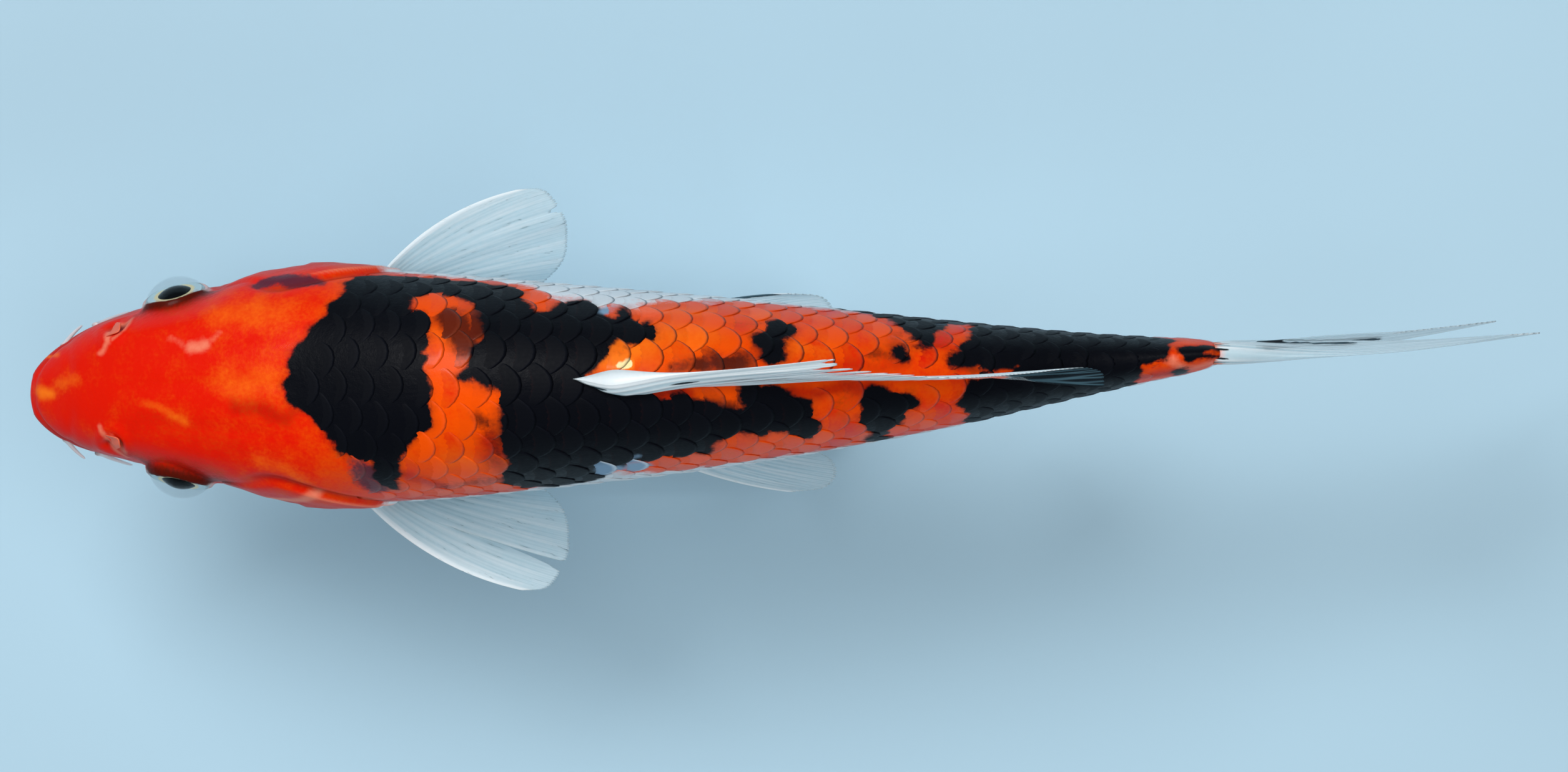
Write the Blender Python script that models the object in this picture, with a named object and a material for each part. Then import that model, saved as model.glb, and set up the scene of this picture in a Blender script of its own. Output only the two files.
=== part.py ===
"""A koi carp as a life-size display model: one year old, swimming level, its tail turned a little right,
held over a flat base by two rods. The head points along -X, its right side is +Y and up is +Z.

The body is one long form. A section stands at every distance u from the snout, and an angle t runs round
it, from 0 on the back to half a turn on the belly, positive on the right side. The body is parted by thin
cuts into head, trunk and tail stem. The fins are sheets of rays between a root line and a free edge.
Lengths are in millimetres until MM turns them into metres.
"""

import math

import bmesh
import bpy
import numpy as np
from mathutils import Matrix, Vector

MM = 0.001
GAP = 0.3  # between neighbouring pieces

# ---- driving sizes ----
TOTAL_LENGTH = 257.5  # snout to the tip of the tail's upper lobe
STEM_END = 205.0  # snout to the root of the tail fin
SNOUT = -1.0  # the foremost point of the rounded lips
AXIS_HEIGHT = 70.0  # of the body's axis above the floor
GILL_EDGE = 62.0  # snout to the rear edge of the gill cover, at mid-height
NAPE_SETBACK = 15.0  # how far the head's rear edge steps forward on the back and the throat

# Body form: distance from the snout, half width, rise above and drop below the widest level, that level.
BODY_STATIONS = np.array([
    (-1, 0.0, 0.0, 0.0, -7.5),
    (4, 7.5, 6.0, 5.9, -7.3),
    (9, 10.4, 9.6, 9.0, -6.9),
    (16, 13.2, 13.1, 12.3, -6.1),
    (25, 16.0, 16.6, 15.9, -5.2),
    (36, 18.8, 19.8, 19.5, -4.0),
    (50, 20.9, 23.6, 22.6, -3.3),
    (66, 20.2, 28.0, 25.0, -2.8),
    (94, 17.7, 30.4, 28.2, -1.1),
    (120, 15.0, 28.0, 26.6, -0.3),
    (150, 10.9, 20.4, 19.2, 0.0),
    (180, 6.2, 12.4, 12.2, 0.0),
    (205, 2.0, 11.9, 11.7, 0.0),
])
SHOULDER = 0.06  # how far the sections swell beyond an ellipse at their shoulders, on the head
SHOULDER_TRUNK = 0.03

# Swimming, the body sways: how far its middle plane stands to the right, by distance from the snout.
SWAY = np.array([
    (-1, 0.2), (4, 0.4), (11, 0.95), (20, 1.3), (36, 1.2), (49, 0.75), (62, 0.3), (80, 0.0),
    (140, 0.0), (160, 0.45), (182, 1.5), (205, 2.9),
])

RING_POINTS = 36
HEAD_RINGS = 21
# Node name, first and last distance from the snout, rings.
TRUNK_LENGTHS = (
    ("trunk_front", GILL_EDGE, 104.0, 10),
    ("trunk_rear", 104.0, 150.0, 10),
    ("tail_stem", 150.0, STEM_END, 11),
)

# Eyes: centre in u, y and z, radius of the ball, and how far both stand to the right.
EYE_CENTRE = (26.0, 13.1, -2.0)
EYE_RADIUS = 6.2
EYE_SWAY = 0.9

# Mouth: the slit runs from the snout to the corner, and the jaw ends at the throat.
MOUTH_TOP = (-4.0, -7.6)
MOUTH_CORNER = (10.5, -11.2)
JAW_THROAT = (17.0, -32.0)

# Gill cover, seen from the side: an arc about this centre in u and z.
COVER_CENTRE = (48.5, -4.5)
COVER_RADIUS = (16.0, 14.5)
COVER_FRONT = 0.72  # of that radius, towards the cheek
COVER_LEAN = 1.8  # how far the oval's top leans back
COVER_INNER = 9.0  # half width of what lies between the two covers

# Barbels: root u and t in degrees, length, and direction in u, y and z.
BARBELS = {
    "barbel_front": (5.0, 108.0, 4.8, (0.5, 0.8, -0.45)),
    "barbel_rear": (10.5, 106.0, 8.0, (0.55, 0.33, -0.7)),
}
BARBEL_ROOT_RADIUS = 0.55
BARBEL_TIP_RADIUS = 0.3
BARBEL_LIFT = BARBEL_ROOT_RADIUS + GAP
BARBEL_SAG = (0.12, 0.0, -0.22)  # of its length, at the tip

FIN_ROOT_THICKNESS = 1.1
FIN_EDGE_THICKNESS = 0.55
FIN_LIFT = 0.75  # of a fin's root line off the body, so that its corners clear it
PAIRED_LIFT = 1.1  # the same for the paired fins, which leave the body at a slant
SHEATH_LIFT = 1.2  # and for the dorsal fin, whose fleshy sheath is wide
SPLIT_RAY = 0.37  # where the left pectoral fin has come apart between two rays, from its leading edge
SPLIT_WIDTH = 0.018
TAIL_FORK = 236.0  # snout to the notch of the tail fin

# Stand: a long flat base with round ends
BASE_LENGTH = 112.0
BASE_WIDTH = 28.0
BASE_THICKNESS = 10.0
BASE_BEVEL = 1.5
BASE_CENTRE = 86.0  # from the snout
BASE_END_POINTS = 12
ROD_RADIUS = 2.5
ROD_PLACES = {"stand_rod_front": 68.0, "stand_rod_rear": 128.0}
ROD_DEPTH = 4.0  # how far a rod runs up into the belly

COLOURS = {
    "skin": (0.80, 0.09, 0.01),
    "fin": (0.75, 0.80, 0.80),
    "barbel": (0.78, 0.80, 0.82),
    "eye": (0.03, 0.03, 0.03),
    "stand_base": (0.72, 0.80, 0.84),
    "stand_rod": (0.60, 0.60, 0.60),
}




# ---- curves ----
def smooth(at, knots, values):
    """A cubic curve through the knots, with the slope at each knot taken from its two neighbours."""
    knots, values = np.asarray(knots, float), np.asarray(values, float)
    slopes = np.gradient(values, knots)
    at = np.clip(at, knots[0], knots[-1])
    i = np.clip(np.searchsorted(knots, at, side="right") - 1, 0, len(knots) - 2)
    span = knots[i + 1] - knots[i]
    f = (at - knots[i]) / span
    return (
        values[i] * (1 + 2 * f) * (1 - f) ** 2
        + slopes[i] * span * f * (1 - f) ** 2
        + values[i + 1] * f**2 * (3 - 2 * f)
        - slopes[i + 1] * span * f**2 * (1 - f)
    )


def ease(at, start, end):
    """0 before start, 1 after end, and an even S between."""
    f = np.clip((at - start) / (end - start), 0, 1)
    return f * f * (3 - 2 * f)


# ---- body ----
def spine(u):
    """How far the body's middle plane stands to the right."""
    return smooth(u, SWAY[:, 0], SWAY[:, 1])


def body_section(u):
    """Half width, rise, drop and widest level. The first three are roots of smooth curves: a round snout."""
    at = BODY_STATIONS[:, 0]
    width, rise, drop = (
        np.sqrt(np.maximum(smooth(u, at, BODY_STATIONS[:, k] ** 2), 0)) for k in (1, 2, 3)
    )
    return width, rise, drop, smooth(u, at, BODY_STATIONS[:, 4])


def body_surface(u, t):
    """Points of the body: an ellipse in each section, swollen at its four shoulders."""
    width, rise, drop, level = body_section(u)
    shoulder = SHOULDER + (SHOULDER_TRUNK - SHOULDER) * ease(u, 50, 100)
    swell = 1 + shoulder * np.sin(2 * t) ** 2
    y = width * np.sin(t) * swell
    z = np.where(np.cos(t) > 0, rise, drop) * np.cos(t) * swell
    return np.stack([u + 0 * t, y + spine(u), level + z], axis=-1)


def body_normal(u, t):
    """Outward direction, from the surface's slopes along and around."""
    step = 0.05
    along = body_surface(u + step, t) - body_surface(u - step, t)
    around = body_surface(u, t + 0.01) - body_surface(u, t - 0.01)
    normal = np.cross(along, around)
    return normal / np.linalg.norm(normal, axis=-1, keepdims=True)


def ring_place(u, t):
    """Rings lean forward on the back and throat, most at the gill edge: the head ends in a curved edge."""
    lean = NAPE_SETBACK * ease(u, 14, GILL_EDGE) * (1 - ease(u, GILL_EDGE, 112))
    return u - lean * np.cos(t) ** 2


def to_world(points):
    """From the fish's millimetres to metres, with the middle of its length over the origin."""
    return (np.asarray(points, float) + (-(SNOUT + TOTAL_LENGTH) / 2, 0, AXIS_HEIGHT)) * MM


# ---- Blender helpers ----
def clear_scene():
    for obj in list(bpy.data.objects):
        bpy.data.objects.remove(obj, do_unlink=True)


def material(name, roughness=0.35, metallic=0.0):
    made = bpy.data.materials.get(name)
    if made is None:
        made = bpy.data.materials.new(name)
        made.use_nodes = True
        shader = made.node_tree.nodes["Principled BSDF"]
        shader.inputs["Base Color"].default_value = (*COLOURS[name], 1)
        shader.inputs["Roughness"].default_value = roughness
        shader.inputs["Metallic"].default_value = metallic
    return made


def add_object(name, mesh, finish=None):
    obj = bpy.data.objects.new(name, mesh)
    bpy.context.scene.collection.objects.link(obj)
    if finish is not None:
        mesh.materials.append(finish)
    return obj


def mesh_of(name, points, faces, smooth_shaded=True):
    """A closed mesh from points in the fish's millimetres, with its faces turned outwards."""
    mesh = bpy.data.meshes.new(name)
    mesh.from_pydata([tuple(p) for p in to_world(points)], [], faces)
    shape = bmesh.new()
    shape.from_mesh(mesh)
    bmesh.ops.remove_doubles(shape, verts=shape.verts, dist=1e-6)
    bmesh.ops.recalc_face_normals(shape, faces=shape.faces)
    if shape.calc_volume(signed=True) < 0:
        bmesh.ops.reverse_faces(shape, faces=shape.faces)
    shape.to_mesh(mesh)
    shape.free()
    if smooth_shaded:
        mesh.shade_smooth()
        mesh.set_sharp_from_angle(angle=math.radians(40))
    return mesh


def grid_faces(rows, columns, first=0, wrap=False):
    """Quads between the rows of a grid of points; wrap joins each row's end to its start."""
    faces = []
    for i in range(rows - 1):
        for j in range(columns if wrap else columns - 1):
            k = (j + 1) % columns
            a, b = first + i * columns, first + (i + 1) * columns
            faces.append((a + j, a + k, b + k, b + j))
    return faces


def boolean(obj, cutter, operation):
    cutter.hide_render = True
    cutter.display_type = "WIRE"
    step = obj.modifiers.new(operation.lower(), "BOOLEAN")
    step.operation = operation
    step.object = cutter


# ---- body pieces ----
def body_length(name, start, end, rings, closed_snout=False):
    """One length of the body between two curved cuts, or from the snout, its ends closed by fans."""
    t = np.linspace(0, 2 * math.pi, RING_POINTS, endpoint=False)
    share = np.linspace(0, 1, rings)
    if closed_snout:  # rings crowd towards the snout
        share = 1 - np.cos(share[1:] * math.pi / 2)
    places = start + (end - start) * share
    rows = [body_surface(ring_place(np.full(RING_POINTS, u), t), t) for u in places]
    points = [p for row in rows for p in row]
    faces = grid_faces(len(rows), RING_POINTS, wrap=True)
    front = (
        body_surface(np.array([start]), np.array([0.0]))[0] if closed_snout else rows[0].mean(axis=0)
    )
    points += [front, rows[-1].mean(axis=0)]
    last = (len(rows) - 1) * RING_POINTS
    for j in range(RING_POINTS):
        k = (j + 1) % RING_POINTS
        faces.append((len(points) - 2, k, j))
        faces.append((last + j, last + k, len(points) - 1))
    return mesh_of(name, points, faces)


def prism(name, outline, y_from, y_to):
    """A side-view outline in u and z, extruded across the body."""
    count = len(outline)
    points = [(u, y, z) for y in (y_from, y_to) for u, z in outline]
    faces = [tuple(range(count)), tuple(range(count, 2 * count))]
    for j in range(count):
        k = (j + 1) % count
        faces.append((j, k, count + k, count + j))
    return mesh_of(name, points, faces, smooth_shaded=False)


def grown(outline, by):
    """A convex outline moved outwards by a distance, corner by corner, from its middle."""
    middle = np.mean(outline, axis=0)
    away = np.asarray(outline, float) - middle
    return middle + away * (1 + by / np.linalg.norm(away, axis=1, keepdims=True))


def jaw_outline(drop=0.0):
    return [
        (MOUTH_TOP[0], MOUTH_TOP[1] - drop),
        (MOUTH_CORNER[0] - drop, MOUTH_CORNER[1] - drop),
        (JAW_THROAT[0] - drop, JAW_THROAT[1]),
        (MOUTH_TOP[0], JAW_THROAT[1]),
    ]


def cover_outline(shrink=0.0):
    """The gill cover's edge: an oval, flattened towards the cheek in front."""
    turn = np.linspace(0, 2 * math.pi, 22, endpoint=False)
    reach = COVER_RADIUS[0] * np.where(np.cos(turn) > 0, 1, COVER_FRONT)
    u = COVER_CENTRE[0] + (reach - shrink) * np.cos(turn) - COVER_LEAN * np.sin(turn)
    z = COVER_CENTRE[1] + (COVER_RADIUS[1] - shrink) * np.sin(turn)
    return list(zip(u, z))


def make_head():
    """The head with its sockets, the lower jaw and the two gill covers, all parted from one form."""
    whole = body_length("whole_head", SNOUT, GILL_EDGE - GAP, HEAD_RINGS, closed_snout=True)
    skin = material("skin")
    reach = 40.0  # past the body on either side

    head = add_object("head", whole.copy(), skin)
    jaw = add_object("lower_jaw", whole.copy(), skin)
    jaw_cut = add_object("cut_jaw", prism("cut_jaw", jaw_outline(), -reach, reach))
    jaw_keep = add_object("keep_jaw", prism("keep_jaw", jaw_outline(GAP), -reach, reach))
    boolean(head, jaw_cut, "DIFFERENCE")
    boolean(jaw, jaw_keep, "INTERSECT")

    for side, sign in (("right", 1), ("left", -1)):
        cover = add_object(f"gill_cover_{side}", whole.copy(), skin)
        cut = prism(f"cut_cover_{side}", cover_outline(), sign * COVER_INNER, sign * reach)
        keep = prism(
            f"keep_cover_{side}", cover_outline(GAP), sign * (COVER_INNER + GAP), sign * reach
        )
        boolean(head, add_object(cut.name, cut), "DIFFERENCE")
        boolean(cover, add_object(keep.name, keep), "INTERSECT")
        socket = ball(f"socket_{side}", eye_centre(sign), EYE_RADIUS + GAP)
        boolean(head, add_object(socket.name, socket), "DIFFERENCE")
        eye = ball(f"eye_{side}", eye_centre(sign), EYE_RADIUS)
        add_object(eye.name, eye, material("eye", roughness=0.08))


def eye_centre(sign):
    return np.array([EYE_CENTRE[0], sign * EYE_CENTRE[1] + EYE_SWAY, EYE_CENTRE[2]])


def ball(name, centre, radius):
    mesh = bpy.data.meshes.new(name)
    shape = bmesh.new()
    bmesh.ops.create_uvsphere(shape, u_segments=20, v_segments=12, radius=radius * MM)
    shape.transform(Matrix.Translation(Vector(to_world(centre))))
    shape.to_mesh(mesh)
    shape.free()
    mesh.shade_smooth()
    return mesh


def make_trunk():
    """The trunk and tail stem, with a blind hole in the belly for each rod."""
    for name, start, end, rings in TRUNK_LENGTHS:
        last = end if end == STEM_END else end - GAP
        obj = add_object(name, body_length(name, start, last, rings), material("skin"))
        for rod, place in ROD_PLACES.items():
            if start < place < end:
                hole = cylinder(
                    f"hole_{rod}", place, ROD_RADIUS + GAP, 5.0, rod_top(place) + GAP, 24
                )
                boolean(obj, add_object(hole.name, hole), "DIFFERENCE")


# ---- barbels ----
def make_barbels():
    """Tapered feelers: a ring carried along a short arc that sags as it goes."""
    sides, steps = 8, 7
    for name, (u, degrees, length, direction) in BARBELS.items():
        for side, sign in (("right", 1), ("left", -1)):
            t = np.array([sign * math.radians(degrees)])
            at = np.array([u])
            root = body_surface(at, t)[0] + body_normal(at, t)[0] * BARBEL_LIFT
            heading = np.array([direction[0], sign * direction[1], direction[2]])
            heading /= np.linalg.norm(heading)
            across = np.cross(heading, (0, 0, 1))
            across /= np.linalg.norm(across)
            over = np.cross(across, heading)
            points = []
            for f in np.linspace(0, 1, steps):
                centre = root + heading * length * f + np.array(BARBEL_SAG) * length * f * f
                radius = BARBEL_ROOT_RADIUS + (BARBEL_TIP_RADIUS - BARBEL_ROOT_RADIUS) * f
                for a in np.linspace(0, 2 * math.pi, sides, endpoint=False):
                    points.append(centre + radius * (across * math.cos(a) + over * math.sin(a)))
            faces = grid_faces(steps, sides, wrap=True)
            faces.append(tuple(range(sides)))
            faces.append(tuple(range((steps - 1) * sides, steps * sides)))
            mesh = mesh_of(f"{name}_{side}", points, faces)
            add_object(mesh.name, mesh, material("barbel"))


# ---- fins ----
def fin_mesh(name, roots, tips, sag, swell=None, rows=7):
    """A sheet of rays from each root to its tip, bowed by sag in the middle, thinning to its edge.

    roots, tips and sag are arrays of points, one per ray. The sheet gets its thickness along its own normals.
    swell, if given, adds to the half thickness at each ray's number f and share s of its length.
    """
    share = np.linspace(0, 1, rows)[None, :, None]
    middle = (
        roots[:, None] * (1 - share) + tips[:, None] * share + sag[:, None] * 4 * share * (1 - share)
    )
    across = np.gradient(middle, axis=0)
    along = np.gradient(middle, axis=1)
    normal = np.cross(across, along)
    normal /= np.maximum(np.linalg.norm(normal, axis=-1, keepdims=True), 1e-9)
    half = (FIN_ROOT_THICKNESS + (FIN_EDGE_THICKNESS - FIN_ROOT_THICKNESS) * share) / 2
    if swell:
        half = half + swell(np.linspace(0, 1, len(roots))[:, None, None], share)
    count = len(roots) * rows
    points = np.concatenate([(middle + normal * half).reshape(-1, 3),
                             (middle - normal * half).reshape(-1, 3)])
    faces = grid_faces(len(roots), rows)
    faces += [tuple(count + k for k in reversed(face)) for face in faces]
    edge = [j for j in range(rows)]
    edge += [i * rows + rows - 1 for i in range(1, len(roots))]
    edge += [(len(roots) - 1) * rows + j for j in range(rows - 2, -1, -1)]
    edge += [i * rows for i in range(len(roots) - 2, 0, -1)]
    for a, b in zip(edge, edge[1:] + edge[:1]):
        faces.append((a, count + a, count + b, b))
    return mesh_of(name, points, faces)


def root_line(u_from, u_to, degrees_from, degrees_to, count, lift=FIN_LIFT):
    """Points along the body's surface, lifted a little off it."""
    f = np.linspace(0, 1, count)
    u = u_from + (u_to - u_from) * f
    t = np.radians(degrees_from + (degrees_to - degrees_from) * f)
    return body_surface(u, t) + body_normal(u, t) * lift


def add_fin(name, roots, tips, sag, swell=None, rows=7):
    mesh = fin_mesh(name, roots, tips, sag, swell, rows)
    add_object(mesh.name, mesh, material("fin", roughness=0.3))


def make_dorsal_fin():
    """Folded low over the back: long front rays swept to the rear, leaning right, the last rays falling left.

    A fleshy sheath, thickest at the front, holds the rays' roots. The root line wanders a little from the
    back's middle, and the last rays spread into a small fan over the left flank.
    """
    f = np.linspace(0, 1, 18)
    roots = root_line(95.0, 168.0, 0, 0, len(f), SHEATH_LIFT)
    places = (0, 0.06, 0.115, 0.265, 0.395, 0.525, 0.655, 0.785, 0.915, 1)
    roots[:, 1] += smooth(f, places, (1.0, 0.2, -0.3, -0.1, 0.0, 0.3, -0.2, -0.6, -0.9, -1.0))
    knots = (0, 0.05, 0.09, 0.13, 0.19, 0.27, 0.36, 0.5, 0.65, 0.78, 0.86, 0.91, 0.95, 1)
    u = smooth(f, knots, (138.5, 139.5, 140, 143, 147, 151, 155, 160, 166, 173.5, 178.5, 182, 184.5, 185))
    lean = smooth(f, knots, (3.3, 2.9, 1.9, 1.4, 0.7, 0.3, -0.3, -0.8, -0.85, -0.7, -0.5, -0.6, -1.5, -4.0))
    height = smooth(f, (0, 0.15, 0.3, 0.6, 0.85, 1), (12.5, 10.0, 8.0, 6.5, 5.0, 2.2))
    back = body_surface(u, 0 * u)
    tips = back + np.stack([0 * u, lean, height], axis=-1)
    rise = smooth(f, (0, 0.5, 1), (4.0, 2.0, 1.2))
    bow = -0.5 * np.exp(-((f / 0.06) ** 2)) - 0.5 * ease(f, 0.9, 1)
    sag = np.stack([0 * f, bow, 0.6 * rise], axis=-1)

    def sheath(f, s):
        at = 95 + 73 * f + 44 * s * (1 - f)
        front = (1.25 * (1 - ease(at, 100, 116)) + 0.45) * ease(at, 94.5, 103)
        return front * (1 - ease(at, 145, 165)) * (1 - ease(s, 0.08, 0.6))

    add_fin("dorsal_fin", roots, tips, sag, sheath)


def make_anal_fin():
    f = np.linspace(0, 1, 9)
    roots = root_line(150.0, 163.0, 180, 180, len(f))
    u = smooth(f, (0, 0.3, 1), (173, 177, 180))
    z = smooth(f, (0, 0.3, 1), (-36.0, -32.0, -22.0))
    tips = np.stack([u, spine(u) + 0.8, z], axis=-1)
    sag = np.stack([1.5 + 0 * f, 0 * f, -0.8 + 0 * f], axis=-1)
    add_fin("anal_fin", roots, tips, sag)


def make_tail_fin():
    """Two lobes of rays that fan out from the stem's end. The lower one is turned further to the right."""
    for name, sign, tip_u, tip_z, turn in (
        ("tail_fin_upper", 1, TOTAL_LENGTH, 27.5, 5.1),
        ("tail_fin_lower", -1, TOTAL_LENGTH - 1.5, 26.5, 7.6),
    ):
        f = np.linspace(0, 1, 11)
        start = 0.25  # of the first ray off the fin's middle line, as half of the cut between the lobes
        root_z = sign * (start + (11.2 - start) * f)
        roots = np.stack([STEM_END + FIN_LIFT - 0.1 + 0 * f, spine(STEM_END) + 0 * f, root_z], axis=-1)
        knots = (0, 0.25, 0.6, 0.85, 1)
        u = smooth(f, knots, (TAIL_FORK, TAIL_FORK + 5.5, tip_u - 3, tip_u, tip_u - 5))
        z = tip_z * smooth(f, knots, (0.02, 0.27, 0.68, 0.93, 1.0))
        reach = (u - STEM_END) / (tip_u - STEM_END)
        y = spine(STEM_END) + (turn - spine(STEM_END)) * reach
        tips = np.stack([u, y, sign * z], axis=-1)
        sag = np.stack([0 * f, 0.9 - 2.6 * f, sign * 1.3 * f], axis=-1)
        add_fin(name, roots, tips, sag, lambda f, s: 1.3 * (1 - ease(s, 0, 0.5)) * ease(f, 0, 0.2))


def paired_tips(edge, sign):
    """Free-edge points given on the right side, mirrored for the left."""
    return np.stack([edge[0], sign * edge[1], edge[2]], axis=-1)


def make_pectoral_fins():
    """Spread fans behind the gill covers. The left one is split between two rays."""
    for side, sign, split, spread in (("right", 1, 0.06, 0.0), ("left", -1, 0.44, 1.6)):
        f = np.array([0, 0.08, 0.16, 0.24, 0.31, 0.345, 0.37, 0.395, 0.43, 0.5, 0.6, 0.7, 0.8, 0.9, 1])
        roots = root_line(61.5, 66.5, sign * 112, sign * 130, len(f), PAIRED_LIFT)
        knots = (0, 0.15, 0.33, 0.41, 0.6, 0.85, 1)
        u = smooth(f, knots, (84.5, 88.5, 91.2, 92.2, 92.8, 91.2, 87.0)) - 0.5 * spread
        y = smooth(f, knots, (34.3, 34.3, 31.8, 30.0, 26.5, 20.8, 17.0)) + spread * (1 - f)
        z = smooth(f, knots, (-12.5, -13.0, -14.0, -14.6, -16.5, -19.0, -21.5))
        tips = paired_tips((u, y, z), sign)
        notch = split * np.exp(-(((f - SPLIT_RAY) / SPLIT_WIDTH) ** 2))[:, None]
        tips = tips + (roots - tips) * notch
        bow = smooth(f, (0, 0.5, 1), (1.9, 0.5, 0.0))
        sag = np.stack([-0.3 * bow, sign * bow, 0.9 + 0 * f], axis=-1)
        add_fin(f"pectoral_fin_{side}", roots, tips, sag)


def make_pelvic_fins():
    """Small fans under the trunk, the left one spread wider than the right."""
    for side, sign, out in (("right", 1, 15.4), ("left", -1, 20.0)):
        f = np.linspace(0, 1, 10)
        roots = root_line(99.5, 104.0, sign * 152, sign * 164, len(f), PAIRED_LIFT)
        knots = (0, 0.3, 0.7, 1)
        u = smooth(f, knots, (131, 137.5, 138.5, 132))
        y = smooth(f, knots, (out, out - 0.8, out - 5.5, out - 9.0))
        z = smooth(f, knots, (-30.5, -32.0, -34.5, -35.5))
        tips = paired_tips((u, y, z), sign)
        bow = smooth(f, (0, 1), (1.8, 0.2))
        sag = np.stack([0 * f, sign * bow, -1.0 + 0 * f], axis=-1)
        add_fin(f"pelvic_fin_{side}", roots, tips, sag)


# ---- stand ----
def cylinder(name, u, radius, z_from, z_to, sides):
    """An upright round bar under the body's middle plane; its heights are above the floor."""
    mesh = bpy.data.meshes.new(name)
    shape = bmesh.new()
    bmesh.ops.create_cone(shape, cap_ends=True, segments=sides, radius1=radius * MM, radius2=radius * MM,
                          depth=(z_to - z_from) * MM)
    middle = Vector(to_world((u, float(spine(np.array([u]))[0]), (z_from + z_to) / 2 - AXIS_HEIGHT)))
    shape.transform(Matrix.Translation(middle))
    shape.to_mesh(mesh)
    shape.free()
    mesh.shade_smooth()
    mesh.set_sharp_from_angle(angle=math.radians(40))
    return mesh


def rod_top(u):
    """Height above the floor of a rod's top end, inside the belly."""
    return AXIS_HEIGHT + float(body_surface(np.array([u]), np.array([math.pi]))[0, 2]) + ROD_DEPTH


def make_stand():
    turn = np.linspace(-math.pi / 2, math.pi / 2, BASE_END_POINTS)
    radius, straight = BASE_WIDTH / 2, (BASE_LENGTH - BASE_WIDTH) / 2
    u = np.concatenate([straight + radius * np.cos(turn), -straight - radius * np.cos(turn)])
    y = np.concatenate([radius * np.sin(turn), -radius * np.sin(turn)])
    count = len(u)
    points = [
        (BASE_CENTRE + a, b, z - AXIS_HEIGHT) for z in (0, BASE_THICKNESS) for a, b in zip(u, y)
    ]
    faces = [tuple(range(count)), tuple(range(count, 2 * count))]
    faces += [(j, (j + 1) % count, count + (j + 1) % count, count + j) for j in range(count)]
    mesh = mesh_of("stand_base", points, faces)
    base = add_object("stand_base", mesh, material("stand_base", roughness=0.5))
    edge = base.modifiers.new("edge", "BEVEL")
    edge.width = BASE_BEVEL * MM
    edge.segments = 2
    for name, u in ROD_PLACES.items():
        rod = cylinder(name, u, ROD_RADIUS, BASE_THICKNESS + GAP, rod_top(u), 24)
        add_object(name, rod, material("stand_rod", roughness=0.25, metallic=1.0))


def main():
    clear_scene()
    make_head()
    make_trunk()
    make_barbels()
    make_dorsal_fin()
    make_anal_fin()
    make_tail_fin()
    make_pectoral_fins()
    make_pelvic_fins()
    make_stand()


main()
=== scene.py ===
"""A koi carp as a life-size display model: skin, scales, fins, eyes, feelers and stand over the frame.

The fish's own measures are millimetres: u runs back from the snout, y is to the fish's right and z is up from
the body's axis. On the body a place is (u, t), where t is the angle from the back, or (u, g), where g is the
girth walked from the back over the flank. Both are positive on the right side.
"""

import math

import bpy
import numpy as np
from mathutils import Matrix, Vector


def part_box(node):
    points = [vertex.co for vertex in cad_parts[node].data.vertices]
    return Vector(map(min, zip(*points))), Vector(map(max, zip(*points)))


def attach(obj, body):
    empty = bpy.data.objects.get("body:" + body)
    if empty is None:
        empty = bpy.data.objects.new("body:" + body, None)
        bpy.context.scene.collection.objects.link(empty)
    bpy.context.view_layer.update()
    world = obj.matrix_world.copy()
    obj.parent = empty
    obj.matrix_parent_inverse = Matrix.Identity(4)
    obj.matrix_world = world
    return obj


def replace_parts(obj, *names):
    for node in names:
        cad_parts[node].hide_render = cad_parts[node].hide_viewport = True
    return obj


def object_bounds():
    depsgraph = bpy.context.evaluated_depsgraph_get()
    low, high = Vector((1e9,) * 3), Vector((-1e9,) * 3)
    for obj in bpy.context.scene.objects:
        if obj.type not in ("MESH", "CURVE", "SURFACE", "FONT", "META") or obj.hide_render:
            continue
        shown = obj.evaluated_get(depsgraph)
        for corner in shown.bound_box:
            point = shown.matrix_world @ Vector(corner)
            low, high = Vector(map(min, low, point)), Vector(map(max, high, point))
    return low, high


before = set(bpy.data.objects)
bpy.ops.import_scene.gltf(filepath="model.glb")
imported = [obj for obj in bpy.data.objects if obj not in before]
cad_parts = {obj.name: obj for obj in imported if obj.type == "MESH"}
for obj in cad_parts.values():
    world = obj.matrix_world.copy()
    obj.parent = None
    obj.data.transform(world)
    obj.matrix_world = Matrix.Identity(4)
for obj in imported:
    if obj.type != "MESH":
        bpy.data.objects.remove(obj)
CAD_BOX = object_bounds()

MM = 0.001

# ---- the body's form, as the frame's solids have it ----
SNOUT = -1.0
STEM_END = 205.0
GILL_EDGE = 62.0
NAPE_SETBACK = 15.0
LEFT_SETBACK = 1.8  # of the left gill cover, as the head turns a little
# Distance from the snout, half width, rise above and drop below the widest level, that level.
BODY_STATIONS = np.array([
    (-1, 0.0, 0.0, 0.0, -7.5),
    (4, 7.5, 6.0, 5.9, -7.3),
    (9, 10.4, 9.6, 9.0, -6.9),
    (16, 13.2, 13.1, 12.3, -6.1),
    (25, 16.0, 16.6, 15.9, -5.2),
    (36, 18.8, 19.8, 19.5, -4.0),
    (50, 20.9, 23.6, 22.6, -3.3),
    (66, 20.2, 28.0, 25.0, -2.8),
    (94, 17.7, 30.4, 28.2, -1.1),
    (120, 15.0, 28.0, 26.6, -0.3),
    (150, 10.9, 20.4, 19.2, 0.0),
    (180, 6.2, 12.4, 12.2, 0.0),
    (205, 2.0, 11.9, 11.7, 0.0),
])
SHOULDER = 0.06
SHOULDER_TRUNK = 0.03
# The body's bend: distance from the snout and how far the middle line lies to the right.
SWAY = np.array([
    (-1, 0.2), (4, 0.4), (11, 0.95), (20, 1.3), (36, 1.2), (49, 0.75), (62, 0.3), (80, 0.0),
    (140, 0.0), (160, 0.45), (182, 1.5), (205, 2.9),
])
EYE_U = 26.0
EYE_LEVEL = -2.0  # of the eyes' middle, against the body's axis

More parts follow.
